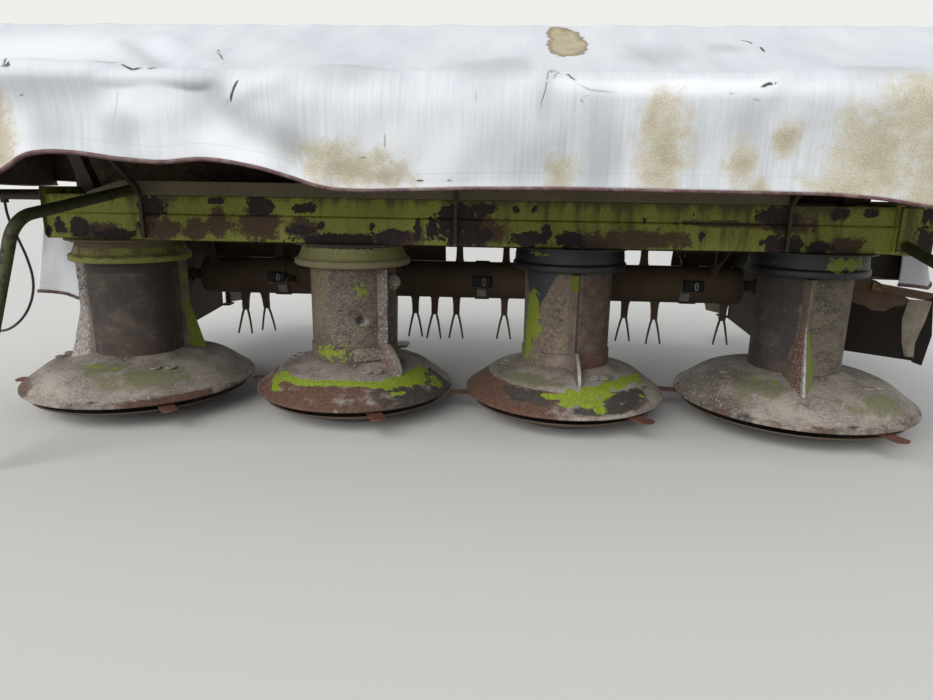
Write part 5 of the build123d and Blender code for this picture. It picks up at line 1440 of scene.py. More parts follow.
def settled(x, known_x, known):
    """Values between known ones, rounded at the joints by averaging over 40 mm."""
    shift = np.linspace(-0.02, 0.02, 9)
    return np.mean([np.interp(x + s, known_x, known) for s in shift], 0)


def near_line(x, v, line):
    """Distance of each place on the cloth from a line of (x, v) points."""
    line = np.asarray(line, float)
    place = np.stack(np.broadcast_arrays(x, v), -1)
    best = np.full(place.shape[:-1], 9.0)
    for start, end in zip(line, line[1:]):
        run = end - start
        share = np.clip(((place - start) @ run) / (run @ run), 0, 1)
        best = np.minimum(best, np.linalg.norm(place - start - share[..., None] * run, axis=-1))
    return best


def bump(x, v, x0, v0, wide, tall, high):
    """A smooth swelling of that height on the cloth, falling off as a bell curve."""
    return high * np.exp(-(((x - x0) / wide) ** 2) - ((v - v0) / tall) ** 2)


columns = np.linspace(-CANVAS_HALF, CANVAS_HALF, 300)
rear_line = eased(
    [(0.3812, 0.912), (0.3812, 1.0195), (0.357, 1.0285), (-0.262, 1.12), (RIDGE_Y, CLOTH_TOP_Z)], 0.02, 5,
)
rear_line = fine(rear_line, 0.018)
rear_y, rear_z = rear_line[:, 0], rear_line[:, 1]
rear_v = -np.concatenate([[0], np.cumsum(np.hypot(np.diff(rear_y), np.diff(rear_z)))])
rear_v = -np.abs(rear_v - rear_v[-1])
rows_slope, rows_turn, rows_fall = 46, 16, 26
turn_length = settled(columns, TURN_X, TURN_LENGTH)
hem_z = settled(columns, HEM_X, HEM_Z)
share = np.linspace(0, 1, rows_slope + 1)[1:, None]
slope_v = share * SLOPE_LENGTH + 0 * columns
slope_y = RIDGE_Y - slope_v * np.cos(SLOPE)
slope_z = CLOTH_TOP_Z - slope_v * np.sin(SLOPE)
# Over the front tube the angle of the cloth runs from the slope's to straight down, in step with its length.
share = np.linspace(0, 1, rows_turn + 1)[1:, None]
angle = SLOPE + (np.pi / 2 - SLOPE) * share
radius = turn_length / (np.pi / 2 - SLOPE)
turn_y = slope_y[-1] - radius * (np.sin(angle) - np.sin(SLOPE))
turn_z = slope_z[-1] - radius * (np.cos(SLOPE) - np.cos(angle))
turn_v = SLOPE_LENGTH + share * turn_length
share = np.linspace(0, 1, rows_fall + 1)[1:, None]
fall = turn_z[-1] - hem_z
fall_y = turn_y[-1] + 0.16 * (radius - 0.022) * (1 - np.cos(np.pi * share)) + 0 * columns
fall_z = turn_z[-1] - share * fall
fall_v = turn_v[-1] + share * fall
cloth_x = np.broadcast_to(columns, (len(rear_v) + rows_slope + rows_turn + rows_fall, len(columns)))
cloth_v = np.concatenate([rear_v[:, None] + 0 * columns, slope_v, turn_v, fall_v])
cloth_y = np.concatenate([rear_y[:, None] + 0 * columns, slope_y, turn_y, fall_y])
cloth_z = np.concatenate([rear_z[:, None] + 0 * columns, slope_z, turn_z, fall_z])


def lift(x, v):
    """How far the cloth stands off its stretched shape: sag between arms, pulls, dents and a long valley."""
    to_bar = np.min([np.abs(x - at) for at in ROOF_BAR_X], 0)
    to_arm = np.min([np.abs(x - at) for at in GUARD_ARM_X], 0)
    held_rear = np.sin(np.pi / 2 * np.clip(to_bar / 0.42, 0, 1))
    middle_rear = np.clip(-v / 0.66, 0, 1)
    sag = -0.02 * held_rear * np.sin(np.pi * middle_rear) ** 0.8 * (v < 0) * (v > -0.66)
    held_front = np.sin(np.pi / 2 * np.clip(to_arm / 0.38, 0, 1))
    middle = np.sin(np.pi * np.clip(v / 0.44, 0, 1))
    sag = sag - 0.01 * held_front * middle * (v > 0)
    low = np.clip((v - 0.47) / 0.2, 0, 1)
    total = sag + 0.006 * low * waves(x, v * 0.25, 0.16, 0.55, 11) + 0.0022 * waves(x, v, 0.06, 0.25, 12)
    total = total + 0.005 * np.clip(v / 0.1, 0, 1) * waves(x, v, 0.22, 0.6, 13)
    total = total + 0.017 * np.exp(-(((v - 0.462) / 0.045) ** 2)) * np.clip((-0.64 - x) / 0.08, 0, 1)
    valley = near_line(
        x, v,
        ((-0.74, 0.17), (-0.609, 0.346), (-0.518, 0.469), (-0.462, 0.549), (-0.4, 0.603), (-0.294, 0.66)),
    )
    total = total - 0.01 * np.exp(-((valley / 0.034) ** 2)) + 0.005 * np.exp(
        -(((valley - 0.065) / 0.03) ** 2)
    )
    pulled = near_line(
        x, v, ((-0.415, 0.527), (-0.377, 0.51), (-0.33, 0.497), (-0.222, 0.453), (-0.088, 0.474)),
    )
    total = total + 0.006 * np.exp(-((pulled / 0.022) ** 2))
    rise = near_line(x, v, ((0.636, 0.507), (0.675, 0.455), (0.743, 0.353), (0.852, 0.256)))
    total = total + 0.007 * np.exp(-((rise / 0.03) ** 2))
    total = total + bump(x, v, -0.82, 0.56, 0.1, 0.07, -0.008) + bump(x, v, -0.64, 0.62, 0.12, 0.08, 0.01)
    total = total + bump(x, v, -0.46, 0.47, 0.05, 0.05, -0.004) + bump(x, v, -0.98, 0.52, 0.05, 0.1, -0.014)
    total = total + bump(x, v, 0.1, 0.6, 0.2, 0.08, 0.008) + bump(x, v, 0.45, 0.3, 0.15, 0.1, -0.006)
    total = total + bump(x, v, 0.95, 0.5, 0.12, 0.08, 0.01) + bump(x, v, 0.76, 0.6, 0.06, 0.06, -0.006)
    return total


def puffed(y, z, off):
    """Moves a grid of points off itself along its own normals in y and z, which point up and outwards."""
    down_y, down_z = np.gradient(y, axis=0), np.gradient(z, axis=0)
    size = np.hypot(down_y, down_z)
    return y + off * down_z / size, z - off * down_y / size


off = lift(cloth_x, cloth_v) + 0.0012
carried = np.min([np.abs(cloth_x - at) for at in ROOF_BAR_X + GUARD_ARM_X], 0)
free = np.clip((carried - 0.02) / 0.05, 0, 1)
off = np.where((cloth_v < 0.46) & (off < 0.001), 0.001 + (off - 0.001) * free, off)
cloth_y, cloth_z = puffed(cloth_y, cloth_z, off)


def kept_off(y, z, at_y, at_z, radius):
    """Pushes points that lie within a radius of a tube's axis straight out to that radius."""
    out_y, out_z = y - at_y, z - at_z
    far = np.hypot(out_y, out_z)
    grow = np.maximum(radius / far, 1)
    return at_y + out_y * grow, at_z + out_z * grow


sleeve = np.clip(1.6 - np.min([np.abs(columns - at) for at in GUARD_ARM_X], 0) / 0.03, 0, 1)
cloth_y, cloth_z = kept_off(cloth_y, cloth_z, RIDGE_Y, RIDGE_Z, CLOTH_OFF_TUBE + 0.0072 * sleeve)
cloth_y, cloth_z = kept_off(cloth_y, cloth_z, FRONT_TUBE_Y, FRONT_TUBE_Z, CLOTH_OFF_TUBE)
to_hem = np.minimum(fall_v[-1] - cloth_v, cloth_v - cloth_v[0])
to_side = CANVAS_HALF - np.abs(cloth_x)

# Marks measured on the sheet: x and distance v forward from the ridge, in metres.
SOIL = (
    (-0.172, 0.667, 0.11, 0.042), (-0.221, 0.638, 0.065, 0.026), (-0.119, 0.682, 0.08, 0.024),
    (0.244, 0.67, 0.032, 0.045),
    (0.447, 0.622, 0.052, 0.11), (0.418, 0.56, 0.026, 0.06), (0.599, 0.645, 0.03, 0.045),
    (0.681, 0.594, 0.03, 0.038),
    (0.857, 0.63, 0.095, 0.115), (0.93, 0.545, 0.095, 0.07), (0.8, 0.69, 0.07, 0.05),
    (0.99, 0.64, 0.1, 0.13),
    (-0.935, 0.6, 0.04, 0.2), (0.64, 0.69, 0.02, 0.03), (1.15, 0.6, 0.15, 0.1),
    (-1.15, 0.64, 0.1, 0.06),
    (-0.6, -0.3, 0.25, 0.12), (0.3, -0.35, 0.3, 0.1), (0.95, -0.2, 0.2, 0.15),
    (-1.1, -0.45, 0.2, 0.12),
)
FAINT = (
    (0.319, 0.6, 0.04, 0.11), (0.205, 0.52, 0.03, 0.06), (-0.46, 0.5, 0.05, 0.05),
    (-0.8, 0.59, 0.075, 0.06),
    (0.1, 0.42, 0.1, 0.1), (-0.18, 0.47, 0.1, 0.05), (0.62, 0.22, 0.05, 0.05), (0.45, 0.3, 0.08, 0.1),
    (0.6, 0.57, 0.06, 0.06), (-0.66, 0.58, 0.05, 0.04), (0.86, 0.45, 0.08, 0.05), (-0.3, 0.6, 0.06, 0.06),
    (-0.1, -0.25, 0.5, 0.1), (0.7, -0.5, 0.4, 0.1), (-0.9, -0.15, 0.3, 0.1),
)
BLEACH = (
    (-0.05, 0.64, 0.22, 0.07), (-0.89, 0.6, 0.06, 0.1), (-0.98, 0.28, 0.34, 0.24),
    (-0.9, 0.66, 0.25, 0.05), (-0.45, 0.62, 0.22, 0.06), (0.02, 0.72, 0.4, 0.04), (0.45, 0.5, 0.35, 0.025),
    (-0.62, 0.52, 0.1, 0.05),
)
STAIN = (
    (0.254, 0.1, 0.027, 0.1), (0.251, 0.21, 0.027, 0.11), (0.28, 0.12, 0.03, 0.1),
    (0.283, 0.21, 0.03, 0.105),
    (0.266, 0.262, 0.034, 0.06), (0.301, 0.19, 0.016, 0.055),
)
# Each tear or scratch: its half width, then its points
TEARS = (
    (0.0028, (-0.715, 0.45), (-0.693, 0.441), (-0.664, 0.436)), (
        0.0036, (-0.664, 0.438), (-0.645, 0.452), (-0.626, 0.467), (-0.6, 0.463),
    ),
    (0.0024, (-0.594, 0.466), (-0.582, 0.462), (-0.575, 0.453)), (0.002, (-0.525, 0.456), (-0.502, 0.464)),
    (
        0.0024, (-0.502, 0.334), (-0.51, 0.295), (-0.473, 0.371), (-0.46, 0.389),
    ), (0.0042, (-0.397, 0.492), (-0.405, 0.505), (-0.412, 0.52), (-0.417, 0.535)),
    (0.0016, (-0.436, 0.536), (-0.428, 0.537)), (0.0024, (-0.894, 0.47), (-0.881, 0.469), (-0.905, 0.43)),
    (0.0022, (-0.869, 0.516), (-0.854, 0.514)),
    (0.0012, (-0.814, 0.63), (-0.786, 0.63)), (
        0.0016, (0.218, 0.442), (0.208, 0.516), (0.201, 0.539), (0.2, 0.56),
    ),
    (0.0018, (0.218, 0.442), (0.228, 0.462), (0.24, 0.478)),
    (0.0024, (0.25, 0.47), (0.258, 0.484), (0.268, 0.492)),
    (0.0012, (0.268, 0.498), (0.295, 0.509), (0.345, 0.512)), (0.0018, (-0.157, 0.648), (-0.141, 0.647)),
    (0.0016, (0.275, 0.527), (0.283, 0.533)), (0.0014, (0.222, 0.47), (0.226, 0.484), (0.22, 0.492)),
    (0.0013, (-0.103, 0.6), (-0.104, 0.629)), (0.0024, (-0.046, 0.69), (-0.027, 0.69)),
    (0.002, (0.015, 0.689), (0.032, 0.688)),
    (0.004, (0.672, 0.14), (0.688, 0.154), (0.691, 0.182)), (0.0042, (0.7, 0.205), (0.69, 0.27)),
    (0.004, (0.615, 0.503), (0.629, 0.497), (0.64, 0.493)),
    (0.0034, (0.643, 0.498), (0.647, 0.487)), (0.0014, (0.603, 0.525), (0.61, 0.522), (0.618, 0.527)),
    (0.0012, (0.556, 0.513), (0.571, 0.513)),
    (0.0008, (-0.655, 0.5), (-0.668, 0.56)),
    (0.001, (0.075, 0.52), (0.076, 0.545)),
)


def nearest_tear(x, v):
    """Signed distance across the nearest tear, and its half width there, which tapers to both ends."""
    place = np.stack([x, v], -1)
    best, across, width = np.full(len(x), 9.0), np.full(len(x), 0.1), np.full(len(x), 0.0)
    for half, *line in TEARS:
        line = np.asarray(line, float)
        steps = np.linalg.norm(np.diff(line, axis=0), axis=1)
        done = np.concatenate([[0], np.cumsum(steps)]) / steps.sum()
        for index, (start, end) in enumerate(zip(line, line[1:])):
            run = end - start
            share = (place - start) @ run / (run @ run)
            held = np.clip(share, 0, 1)
            far = np.linalg.norm(place - start - held[:, None] * run, axis=1)
            sign = ((place - start) @ np.array([-run[1], run[0]])) / np.hypot(*run)
            whole = done[index] + (done[index + 1] - done[index]) * np.clip(share, -3, 4)
            taper = half * np.minimum(np.minimum(whole, 1 - whole) * 5, 1)
            closer = far < best
            best, across = np.where(closer, far, best), np.where(closer, sign, across)
            width = np.where(closer, taper, width)
    # Away from its tear a point has less than no width, so that nothing opens between points of different
    # tears.
    return across, np.where(best > 0.012, -0.004, 0.62 * width)


def tarpaulin(name, base, warm, cool, shaded):
    """PVC-coated polyester tarpaulin: pale, dull, drawn with fine washed streaks down the cloth, and soiled.
    It reads the sheet's vector cloth (x, v) and fields soil, faint, bleach, stain, across, torn and hem."""
    material = bpy.data.materials.new(name)
    material.use_nodes = True
    tree = material.node_tree
    shader = tree.nodes["Principled BSDF"]
    place = node(tree, "Attribute", out="Vector", attribute_name="cloth")
    kept = {
        key: node(tree, "Attribute", out="Fac", attribute_name=key)
        for key in ("soil", "faint", "bleach_and_painted_light", "stain", "across", "torn", "hem")
    }
    down = node(tree, "Mapping", {"Vector": place, "Scale": (1, 0.032, 1)})
    streaks = node(tree, "TexNoise", {"Vector": down, "Scale": 115.0, "Detail": 7.0, "Roughness": 0.72})
    wide = node(tree, "Mapping", {"Vector": place, "Scale": (1, 0.3, 1)})
    clouds = node(tree, "TexNoise", {"Vector": wide, "Scale": 7.0, "Detail": 6.0, "Roughness": 0.6})
    fine_grain = node(tree, "TexNoise", {"Vector": place, "Scale": 260.0, "Detail": 4.0, "Roughness": 0.75})
    speckle = node(tree, "TexNoise", {"Vector": place, "Scale": 300.0, "Detail": 5.0, "Roughness": 0.75})
    smudge = node(tree, "TexNoise", {"Vector": place, "Scale": 26.0, "Detail": 8.0, "Roughness": 0.7})
    share = node(tree, "MapRange", {"Value": clouds, "From Min": 0.36, "From Max": 0.64})
    colour = node(tree, "Mix", {0: share, 6: srgb(base), 7: srgb(cool)}, **COLOURS)
    # The washed streaks show on the fall of the cloth and hardly on its slopes.
    height_on_cloth = node(tree, "SeparateXYZ", {"Vector": place}, out="Y")
    fallen = node(
        tree, "MapRange", {"Value": height_on_cloth, "From Min": 0.42, "From Max": 0.56, "To Min": 0.22},
    )
    streak_mask = node(
        tree, "MapRange", {"Value": streaks, "From Min": 0.5, "From Max": 0.68, "To Max": 0.46},
    )
    streak_mask = node(tree, "Math", {0: streak_mask, 1: fallen}, operation="MULTIPLY")
    colour = node(tree, "Mix", {0: streak_mask, 6: colour, 7: srgb(shaded)}, **COLOURS)
    streak_mask = node(
        tree, "MapRange", {"Value": streaks, "From Min": 0.48, "From Max": 0.34, "To Max": 0.5},
    )
    streak_mask = node(tree, "Math", {0: streak_mask, 1: fallen}, operation="MULTIPLY")
    colour = node(tree, "Mix", {0: streak_mask, 6: colour, 7: srgb("#F1F4F8")}, **COLOURS)
    # Whiter where the bleach field is high: sun bleaching on the cover, painted light on the flaps.
    whitened = node(tree, "Math", {0: clouds, 1: 0.8, 2: kept["bleach_and_painted_light"]}, **MULTIPLY_ADD)
    whitened = node(
        tree, "MapRange", {"Value": whitened, "From Min": 0.2, "From Max": 1.2, "To Max": 0.9}, **SOFT_RIM,
    )
    colour = node(tree, "Mix", {0: whitened, 6: colour, 7: srgb("#F2F5FA")}, **COLOURS)
    tint = node(tree, "MapRange", {"Value": fine_grain, "From Min": 0.42, "From Max": 0.62, "To Max": 0.35})
    colour = node(tree, "Mix", {0: tint, 6: colour, 7: srgb(warm)}, **COLOURS)
    # Faint grey wash, then ground-in soil: a soft tan film under dense brown specks.
    noise = node(tree, "Math", {0: clouds, 1: -0.5}, operation="ADD")
    reach = node(tree, "Math", {0: noise, 1: 1.6, 2: kept["faint"]}, **MULTIPLY_ADD)
    mask = node(
        tree, "MapRange", {"Value": reach, "From Min": -0.35, "From Max": 0.9, "To Max": 0.55}, **SOFT_RIM,
    )
    colour = node(tree, "Mix", {0: mask, 6: colour, 7: srgb("#AEB0B3")}, **COLOURS)
    noise = node(tree, "Math", {0: speckle, 1: -0.5}, operation="ADD")
    spread = node(tree, "Math", {0: smudge, 1: -0.5}, operation="ADD")
    spread = node(tree, "Math", {0: spread, 1: 2.6, 2: kept["soil"]}, **MULTIPLY_ADD)
    reach = node(tree, "Math", {0: noise, 1: 1.2, 2: spread}, **MULTIPLY_ADD)
    film = node(
        tree, "MapRange", {"Value": reach, "From Min": -0.45, "From Max": 0.55, "To Max": 0.85}, **SOFT_RIM,
    )
    colour = node(tree, "Mix", {0: film, 6: colour, 7: srgb("#C9C0A8")}, **COLOURS)
    reach = node(tree, "Math", {0: noise, 1: 5.0, 2: spread}, **MULTIPLY_ADD)
    dots = node(tree, "MapRange", {"Value": reach, "From Min": 0.3, "From Max": 1.2, "To Max": 0.55})
    colour = node(tree, "Mix", {0: dots, 6: colour, 7: srgb("#94876A")}, **COLOURS)
    noise = node(tree, "Math", {0: smudge, 1: -0.5}, operation="ADD")
    reach = node(tree, "Math", {0: noise, 1: 1.3, 2: kept["stain"]}, **MULTIPLY_ADD)
    mask = node(tree, "MapRange", {"Value": reach, "From Min": -0.04, "From Max": 0.1}, **SOFT_RIM)
    ring = node(tree, "MapRange", {"Value": reach, "From Min": 0.05, "From Max": 0.5})
    tan = node(tree, "Mix", {0: ring, 6: srgb("#7D6F54"), 7: srgb("#B5A98C")}, **COLOURS)
    patchy = node(tree, "MapRange", {"Value": smudge, "From Min": 0.5, "From Max": 0.62, "To Max": 0.6})
    tan = node(tree, "Mix", {0: patchy, 6: tan, 7: srgb("#8E8778")}, **COLOURS)
    colour = node(tree, "Mix", {0: mask, 6: colour, 7: tan}, **COLOURS)
    # Hem: two rows of stitches 30 mm in from the edge show as a thin dull line.
    seam = node(tree, "Math", {0: kept["hem"], 1: 0.03, 2: 0.0016}, operation="COMPARE")
    seam = node(tree, "Math", {0: seam, 1: 0.1}, operation="MULTIPLY")
    colour = node(tree, "Mix", {0: seam, 6: colour, 7: srgb("#8F8E90")}, **COLOURS)
    # Tears: dark where the coating and weave are open, with a pale frayed lip.
    far = node(tree, "Math", {0: kept["across"]}, operation="ABSOLUTE")
    rough_edge = node(
        tree, "MapRange", {"Value": speckle, "From Min": 0.3, "From Max": 0.7, "To Min": 0.5, "To Max": 1.5},
    )
    open_half = node(tree, "Math", {0: kept["torn"], 1: rough_edge}, operation="MULTIPLY")
    gap = node(tree, "Math", {0: open_half, 1: far}, operation="SUBTRACT")
    lip = node(tree, "MapRange", {"Value": gap, "From Min": -0.004, "From Max": -0.0015})
    shown = node(tree, "MapRange", {"Value": kept["torn"], "From Min": 0.0002, "From Max": 0.001})
    lip = node(tree, "Math", {0: lip, 1: shown}, operation="MULTIPLY")
    lip = node(tree, "Math", {0: lip, 1: 0.5}, operation="MULTIPLY")
    colour = node(tree, "Mix", {0: lip, 6: colour, 7: srgb("#C9C6C0")}, **COLOURS)
    opened = node(tree, "MapRange", {"Value": gap, "From Min": -0.0006, "From Max": 0.0004})
    # A thin scratch has opened the coating only and is a grey thread; a wide tear is dark right through.
    depth = node(
        tree, "MapRange", {"Value": kept["torn"], "From Min": 0.0005, "From Max": 0.0016, "To Min": 0.32},
    )
    opened = node(tree, "Math", {0: opened, 1: depth}, operation="MULTIPLY")
    colour = node(tree, "Mix", {0: opened, 6: colour, 7: srgb("#4A4540")}, **COLOURS)
    height = node(tree, "Math", {0: fine_grain, 1: 0.00025}, operation="MULTIPLY")
    height = node(tree, "Math", {0: clouds, 1: 0.006, 2: height}, **MULTIPLY_ADD)
    height = node(tree, "Math", {0: opened, 1: -0.002, 2: height}, **MULTIPLY_ADD)
    lumps = node(tree, "Bump", {"Strength": 0.6, "Distance": 1.0, "Height": height})
    tree.links.new(colour, shader.inputs["Base Color"])
    tree.links.new(lumps, shader.inputs["Normal"])
    shader.inputs["Roughness"].default_value = 0.62
    shader.inputs["Specular IOR Level"].default_value = 0.35
    return material


# PVC coating bleached by decades of sun, dull and slightly blue where it is clean.
white_tarpaulin = tarpaulin("bleached_pvc_tarpaulin", "#DCE0E5", "#DDDCD8", "#CDD3DB", "#AFB6C0")
# Its inner face: the same coating, brown-black with old sap and dust thrown up by the drums.
soiled_tarpaulin = aged(
    "sap_stained_tarpaulin", ("#4A3D33", "#382E28", "#6A5A48"), 0.09, 0.004, 0.85,
    patches=[("soil", "#5E4F3E", "#7A6A52", 0.02, 0.5, 0.3, 0.9, 0.0002)], coords="cloth", rise=0.0004,
)


def cloth_fields(x, v, hem, soil=SOIL, faint=FAINT, stain=STAIN, tears=True):
    """Point attributes of a sheet from its flat grid: place, marks, tears and distance from its hem."""
    x, v, hem = (np.ascontiguousarray(part, float).ravel() for part in np.broadcast_arrays(x, v, hem))
    across, torn = nearest_tear(x, v) if tears else (0.1 + 0 * x, 0 * x)
    far = np.full(len(x), -1.0)
    return {
        "cloth": np.stack([x, v, 0 * x], -1),
        "soil": blotches(soil, -1)(x, v) if len(soil) else far,
        "faint": blotches(faint, -1)(x, v) if len(faint) else far,
        "bleach_and_painted_light": blotches(BLEACH, -1)(x, v) if tears else far,
        "stain": blotches(stain, -1)(x, v) if len(stain) else far,
        "across": across,
        "torn": torn,
        "hem": hem,
    }


def sheet_piece(
    name, x, y, z, fields, body, stands_for, outward=True,
):
    """A grid of points as one sheet of cloth with a soiled inner face: smooth and thickened."""
    rows, cols = x.shape
    faces = quads(rows, cols)
    mesh = bpy.data.meshes.new(name)
    points = np.stack([x, y + LINE_Y, z], -1).reshape(-1, 3)
    mesh.from_pydata(points.tolist(), [], (faces[:, ::-1] if outward else faces).tolist())
    keep_fields(mesh, fields)
    made = finished(bpy.data.objects.new(name, mesh), [white_tarpaulin, soiled_tarpaulin], None, sharp=180)
    if isinstance(body, str):
        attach(made, body)
    else:
        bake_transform(made)
    wall = made.modifiers.new("cloth_thickness", "SOLIDIFY")
    wall.thickness = CLOTH_THICK
    wall.offset = -1
    wall.material_offset = 1
    wall.use_rim = True
    if stands_for:
        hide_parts(*stands_for)
    return made


# Piping: a cord of maroon PVC folded into the hem and sewn; it has faded and collected dust.
piping_pvc = aged(
    "maroon_piping_pvc", ("#4C2A31", "#5C3A40", "#8A6B68"), 0.05, 0.003, 0.55,
    patches=[("dust", "#8F7F76", "#7A6560", 0.02, 0.5, 0.3, 0.8, 0.0)],
)


def piping(name, path, radius, body):
    """Round piping along a hem, closed at both ends."""
    parts = [(points, faces, 0) for points, faces, _ in wire(path, radius, 10)]
    return piece(name, parts, [piping_pvc], body, slot="stained_canvas", fields={"dust": -0.1}, sharp=60)


hem_path = np.stack([columns, cloth_y[-1] + 0.001, cloth_z[-1] - 0.001], -1)
hem_radius = np.interp(columns, (-0.7, 0.0), (0.005, 0.0034))
front_piping = piping("front_hem_piping", hem_path, hem_radius, "front_guard")
rear_path = np.stack([columns, cloth_y[0] - 0.001, cloth_z[0] - 0.001], -1)
rear_piping = piping("rear_hem_piping", rear_path, 0.0045, "carrier")
sheet_piece(
    "roof_and_front_cover",
    cloth_x,
    cloth_y,
    cloth_z,
    cloth_fields(cloth_x, cloth_v, np.minimum(to_hem, to_side)),
    ("carrier", "front_guard", (0, LINE_Y - 0.256, 1.12), (0, LINE_Y - 0.34, 1.12)),
    ["front_canvas", "rear_canvas"],
)

# Gables: triangular flaps of the same cloth, sewn along the cover's side edges and hanging down inside them.
for side, word in ((-1, "left"), (1, "right")):
    for part, body, near, far, top_near, top_far, low in (
        ("front", "front_guard", -0.345, -0.726, 1.1045, 0.9485, (0.955, 0.925)),
        ("rear", "carrier", -0.235, 0.328, 1.1115, 1.0285, (0.95, 0.952)),
    ):
        along, drop = np.meshgrid(np.linspace(0, 1, 30), np.linspace(0, 1, 12))
        y = near + (far - near) * along
        top = top_near + (top_far - top_near) * along
        bottom = low[0] + (low[1] - low[0]) * along
        z = top + (bottom - top) * drop
        x = side * (CANVAS_HALF - 0.004 + 0.004 * drop * waves(y, z, 0.08, 0.3, 31))
        high = float(np.max(top[0] - bottom[0]))
        outward = (side < 0) == (far < near)
        sheet_piece(
            f"{word}_{part}_gable", x, y, z, cloth_fields(
                y, z, np.full(y.shape, 0.1), ((-0.5, 1.0, 0.2, 0.05), (0.1, 1.0, 0.2, 0.04)), (), (), False,
            ),
            body, (), outward=outward,
        )

# Side covers: cloth laced over each side frame from the hinge rod to the outer tube, hanging down outside and
# in front.
for side, word in ((-1, "left"), (1, "right")):
    lengthwise = np.linspace(-0.7, 0.505, 110)
    section = eased(
        [(1.362, 0.9425), (1.64, 0.9385), (1.652, 0.933), (1.653, 0.915), (1.653, 0.722)], 0.016, 5,
    )
    section = fine(section, 0.012)
    steps = np.concatenate([[0], np.cumsum(np.hypot(*np.diff(section, axis=0).T))])
    y = np.broadcast_to(lengthwise, (len(section), len(lengthwise)))
    v = np.broadcast_to(steps[:, None], y.shape)
    over = np.clip(steps / 0.275, 0, 1)[:, None]
    hung = np.clip((steps - 0.31) / 0.19, 0, 1)[:, None]
    held = np.abs(np.sin(np.pi * (y + 0.57) / 0.75)) ** 0.8
    z = section[:, 1:] - 0.014 * np.sin(np.pi * over) * (0.5 + held)
    z = z + 0.003 * waves(y, v, 0.1, 0.4, 41) * (over < 1)
    x = section[:, :1] + 0.007 * hung * waves(y, v * 0.3, 0.15, 0.5, 42 + side) + 0 * y
    z = z - 0.01 * hung * (0.5 + 0.5 * waves(y, 0 * v, 0.3, 0.8, 44 + side))
    hem = steps[-1] - v
    hem_line = np.stack([side * x[-1], lengthwise, z[-1] - 0.001], -1)
    side_piping = piping(f"{word}_side_piping", hem_line, 0.005, f"{word}_side_guard")
    marks = (
        (0.1, 0.4, 0.25, 0.06), (-0.4, 0.43, 0.2, 0.05), (0.35, 0.15, 0.2, 0.08), (-0.1, 0.1, 0.2, 0.06),
    )
    sheet_piece(
        f"{word}_side_cover", side * x, y, z, cloth_fields(
            y + 0 * v, v, hem, marks, ((0, 0.3, 0.4, 0.1),), (), False,
        ),
        f"{word}_side_guard", [f"{word}_side_canvas"],
        outward=side > 0,
    )
    for place, at, sense in (("front", -0.6985, -1), ("rear", 0.5035, 1)):
        across, drop = np.meshgrid(np.linspace(1.364, 1.65, 30), np.linspace(0, 1, 24))
        top = np.interp(across, section[:22, 0], section[:22, 1]) - 0.012 * np.sin(
            np.pi * np.clip((across - 1.362) / 0.278, 0, 1)
        )
        bottom = 0.722 + 0.012 * (across - 1.36) / 0.29
        high = top + (bottom - top) * drop
        y = at + (
            0.012 * np.sin(np.pi * drop) * np.sin(
                np.pi * (across - 1.364) / 0.286
            ) + 0.004 * drop * waves(across, high, 0.08, 0.3, 47)
        ) * sense
        y = y if sense < 0 else np.minimum(y, 0.5045) - 0.01 * drop
        end_line = np.stack([side * across[-1], y[-1], high[-1] - 0.001], -1)
        end_edge = piping(f"{word}_{place}_panel_piping", end_line, 0.0045, f"{word}_side_guard")
        sheet_piece(
            f"{word}_{place}_panel", side * across, y, high,
            cloth_fields(
                across + 2.0, high, high - bottom, ((3.5, 0.8, 0.12, 0.06),), ((3.45, 0.88, 0.1, 0.06),), (),
                False,
            ),
            f"{word}_side_guard", (),
            outward=side * sense < 0,
        )

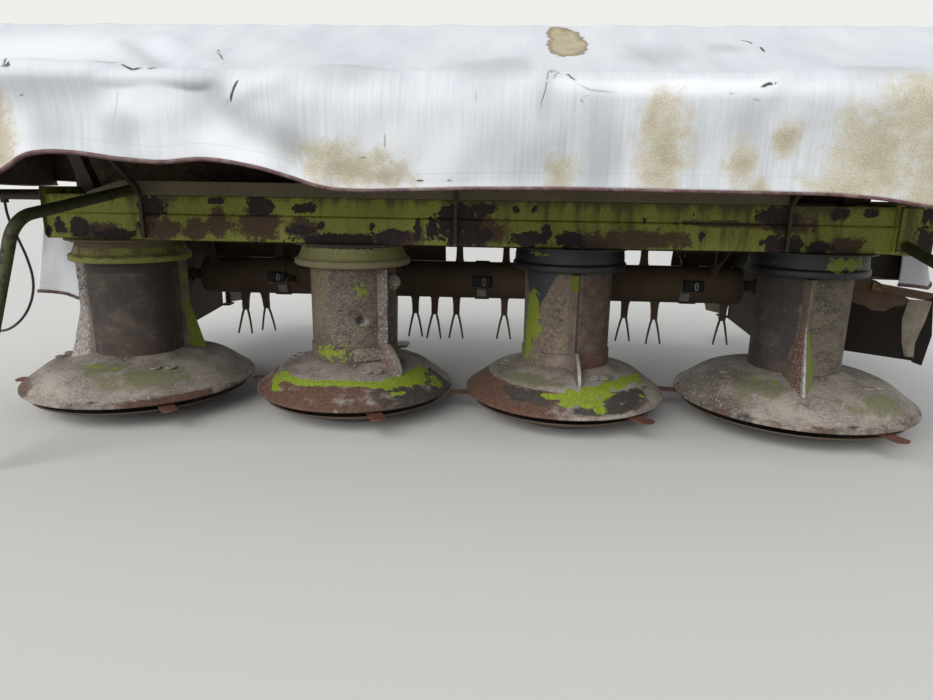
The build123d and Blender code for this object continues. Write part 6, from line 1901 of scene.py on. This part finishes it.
# Flaps: cloth curtains hung from the end rails behind the outer drums, each with its outer edge rolled
# forward.
# The left one shows its pale face, and the right one its soiled inner face with the pale edge turned over.
FLAP_TOP_Z, FLAP_Y = 0.6995, 0.386
for word, side, plan, low_x, low_z in (
    (
        "left", -1, ((1.2, 0.386), (1.52, 0.386), (1.6, 0.366), (1.665, 0.325)), (0.0, 0.55, 0.8, 1.0),
        (0.235, 0.248, 0.295, 0.312),
    ),
    (
        "right", 1, (
            (1.3, 0.386), (1.6, 0.386), (1.665, 0.378), (1.69, 0.345), (1.668, 0.322), (1.56, 0.318),
        ),
        (0.0, 0.5, 0.7, 0.8, 1.0), (0.424, 0.43, 0.428, 0.398, 0.41),
    ),
):
    line = fine(eased(plan, 0.03, 6), 0.009)
    steps = np.concatenate([[0], np.cumsum(np.hypot(*np.diff(line, axis=0).T))])
    share = steps / steps[-1]
    drop = np.linspace(0, 1, 50)[:, None]
    bottom = np.interp(share, low_x, low_z) + 0.004 * np.sin(9 * share)
    z = FLAP_TOP_Z + (bottom - FLAP_TOP_Z) * drop
    # Near the rail the cloth is flat and stays inside it; the roll opens downwards.
    open_share = drop**0.7
    flat_x = np.minimum(line[0, 0] + steps, 1.585 if side > 0 else 1.59)
    x = flat_x + (line[:, 0] - flat_x) * open_share
    y = FLAP_Y + (line[:, 1] - FLAP_Y) * open_share
    y = y + 0.004 * np.sin(np.pi * drop) * waves(steps[None] + 0 * drop, z, 0.1, 0.35, 51)
    y = y - 0.0012 * np.arange(len(steps)) / len(steps) * (side > 0)
    hem = z - bottom
    hem_line = np.stack([side * x[-1], y[-1], z[-1] - 0.001], -1)
    flap_piping = piping(f"{word}_flap_piping", hem_line, 0.0065, "carrier")
    flap_fields = cloth_fields(
        steps[None] + 5.0 + 0 * drop, z, hem, ((5.2, 0.28, 0.1, 0.05),), ((5.3, 0.5, 0.2, 0.1),), (), False,
    )
    # Both flaps are painted whiter all over: painted light on cloth that hangs in shade.
    flap_fields["bleach_and_painted_light"] = 0.9
    sheet_piece(
        f"{word}_flap", side * x, y, z, flap_fields, "carrier", [f"{word}_rear_flap"],
        outward=False,
    )

# Inner apron: a dark, sap-stained curtain hung under the roof behind the beam, slack and folded.
across, drop = np.meshgrid(np.linspace(-1.31, 1.31, 260), np.linspace(0, 1, 26))
APRON_TOP_Z, APRON_BOTTOM_Z = 1.012, 0.6925
z = APRON_TOP_Z + (APRON_BOTTOM_Z - APRON_TOP_Z) * drop
folds = waves(across, z * 0.35, 0.12, 0.45, 61, 12)
y = 0.103 + 0.016 * (0.3 + 0.7 * drop) * folds
soiled_fields = cloth_fields(across, drop * 0.32, np.full(across.shape, 0.1), (), (), (), False)
soiled_fields["soil"] = (0.1 + 0.5 * folds * 0.4).ravel()
apron = sheet_piece(
    "inner_apron_cloth", across, y, z, soiled_fields, "carrier", ["inner_apron"],
    outward=False,
)
apron.data.materials[0] = soiled_tarpaulin
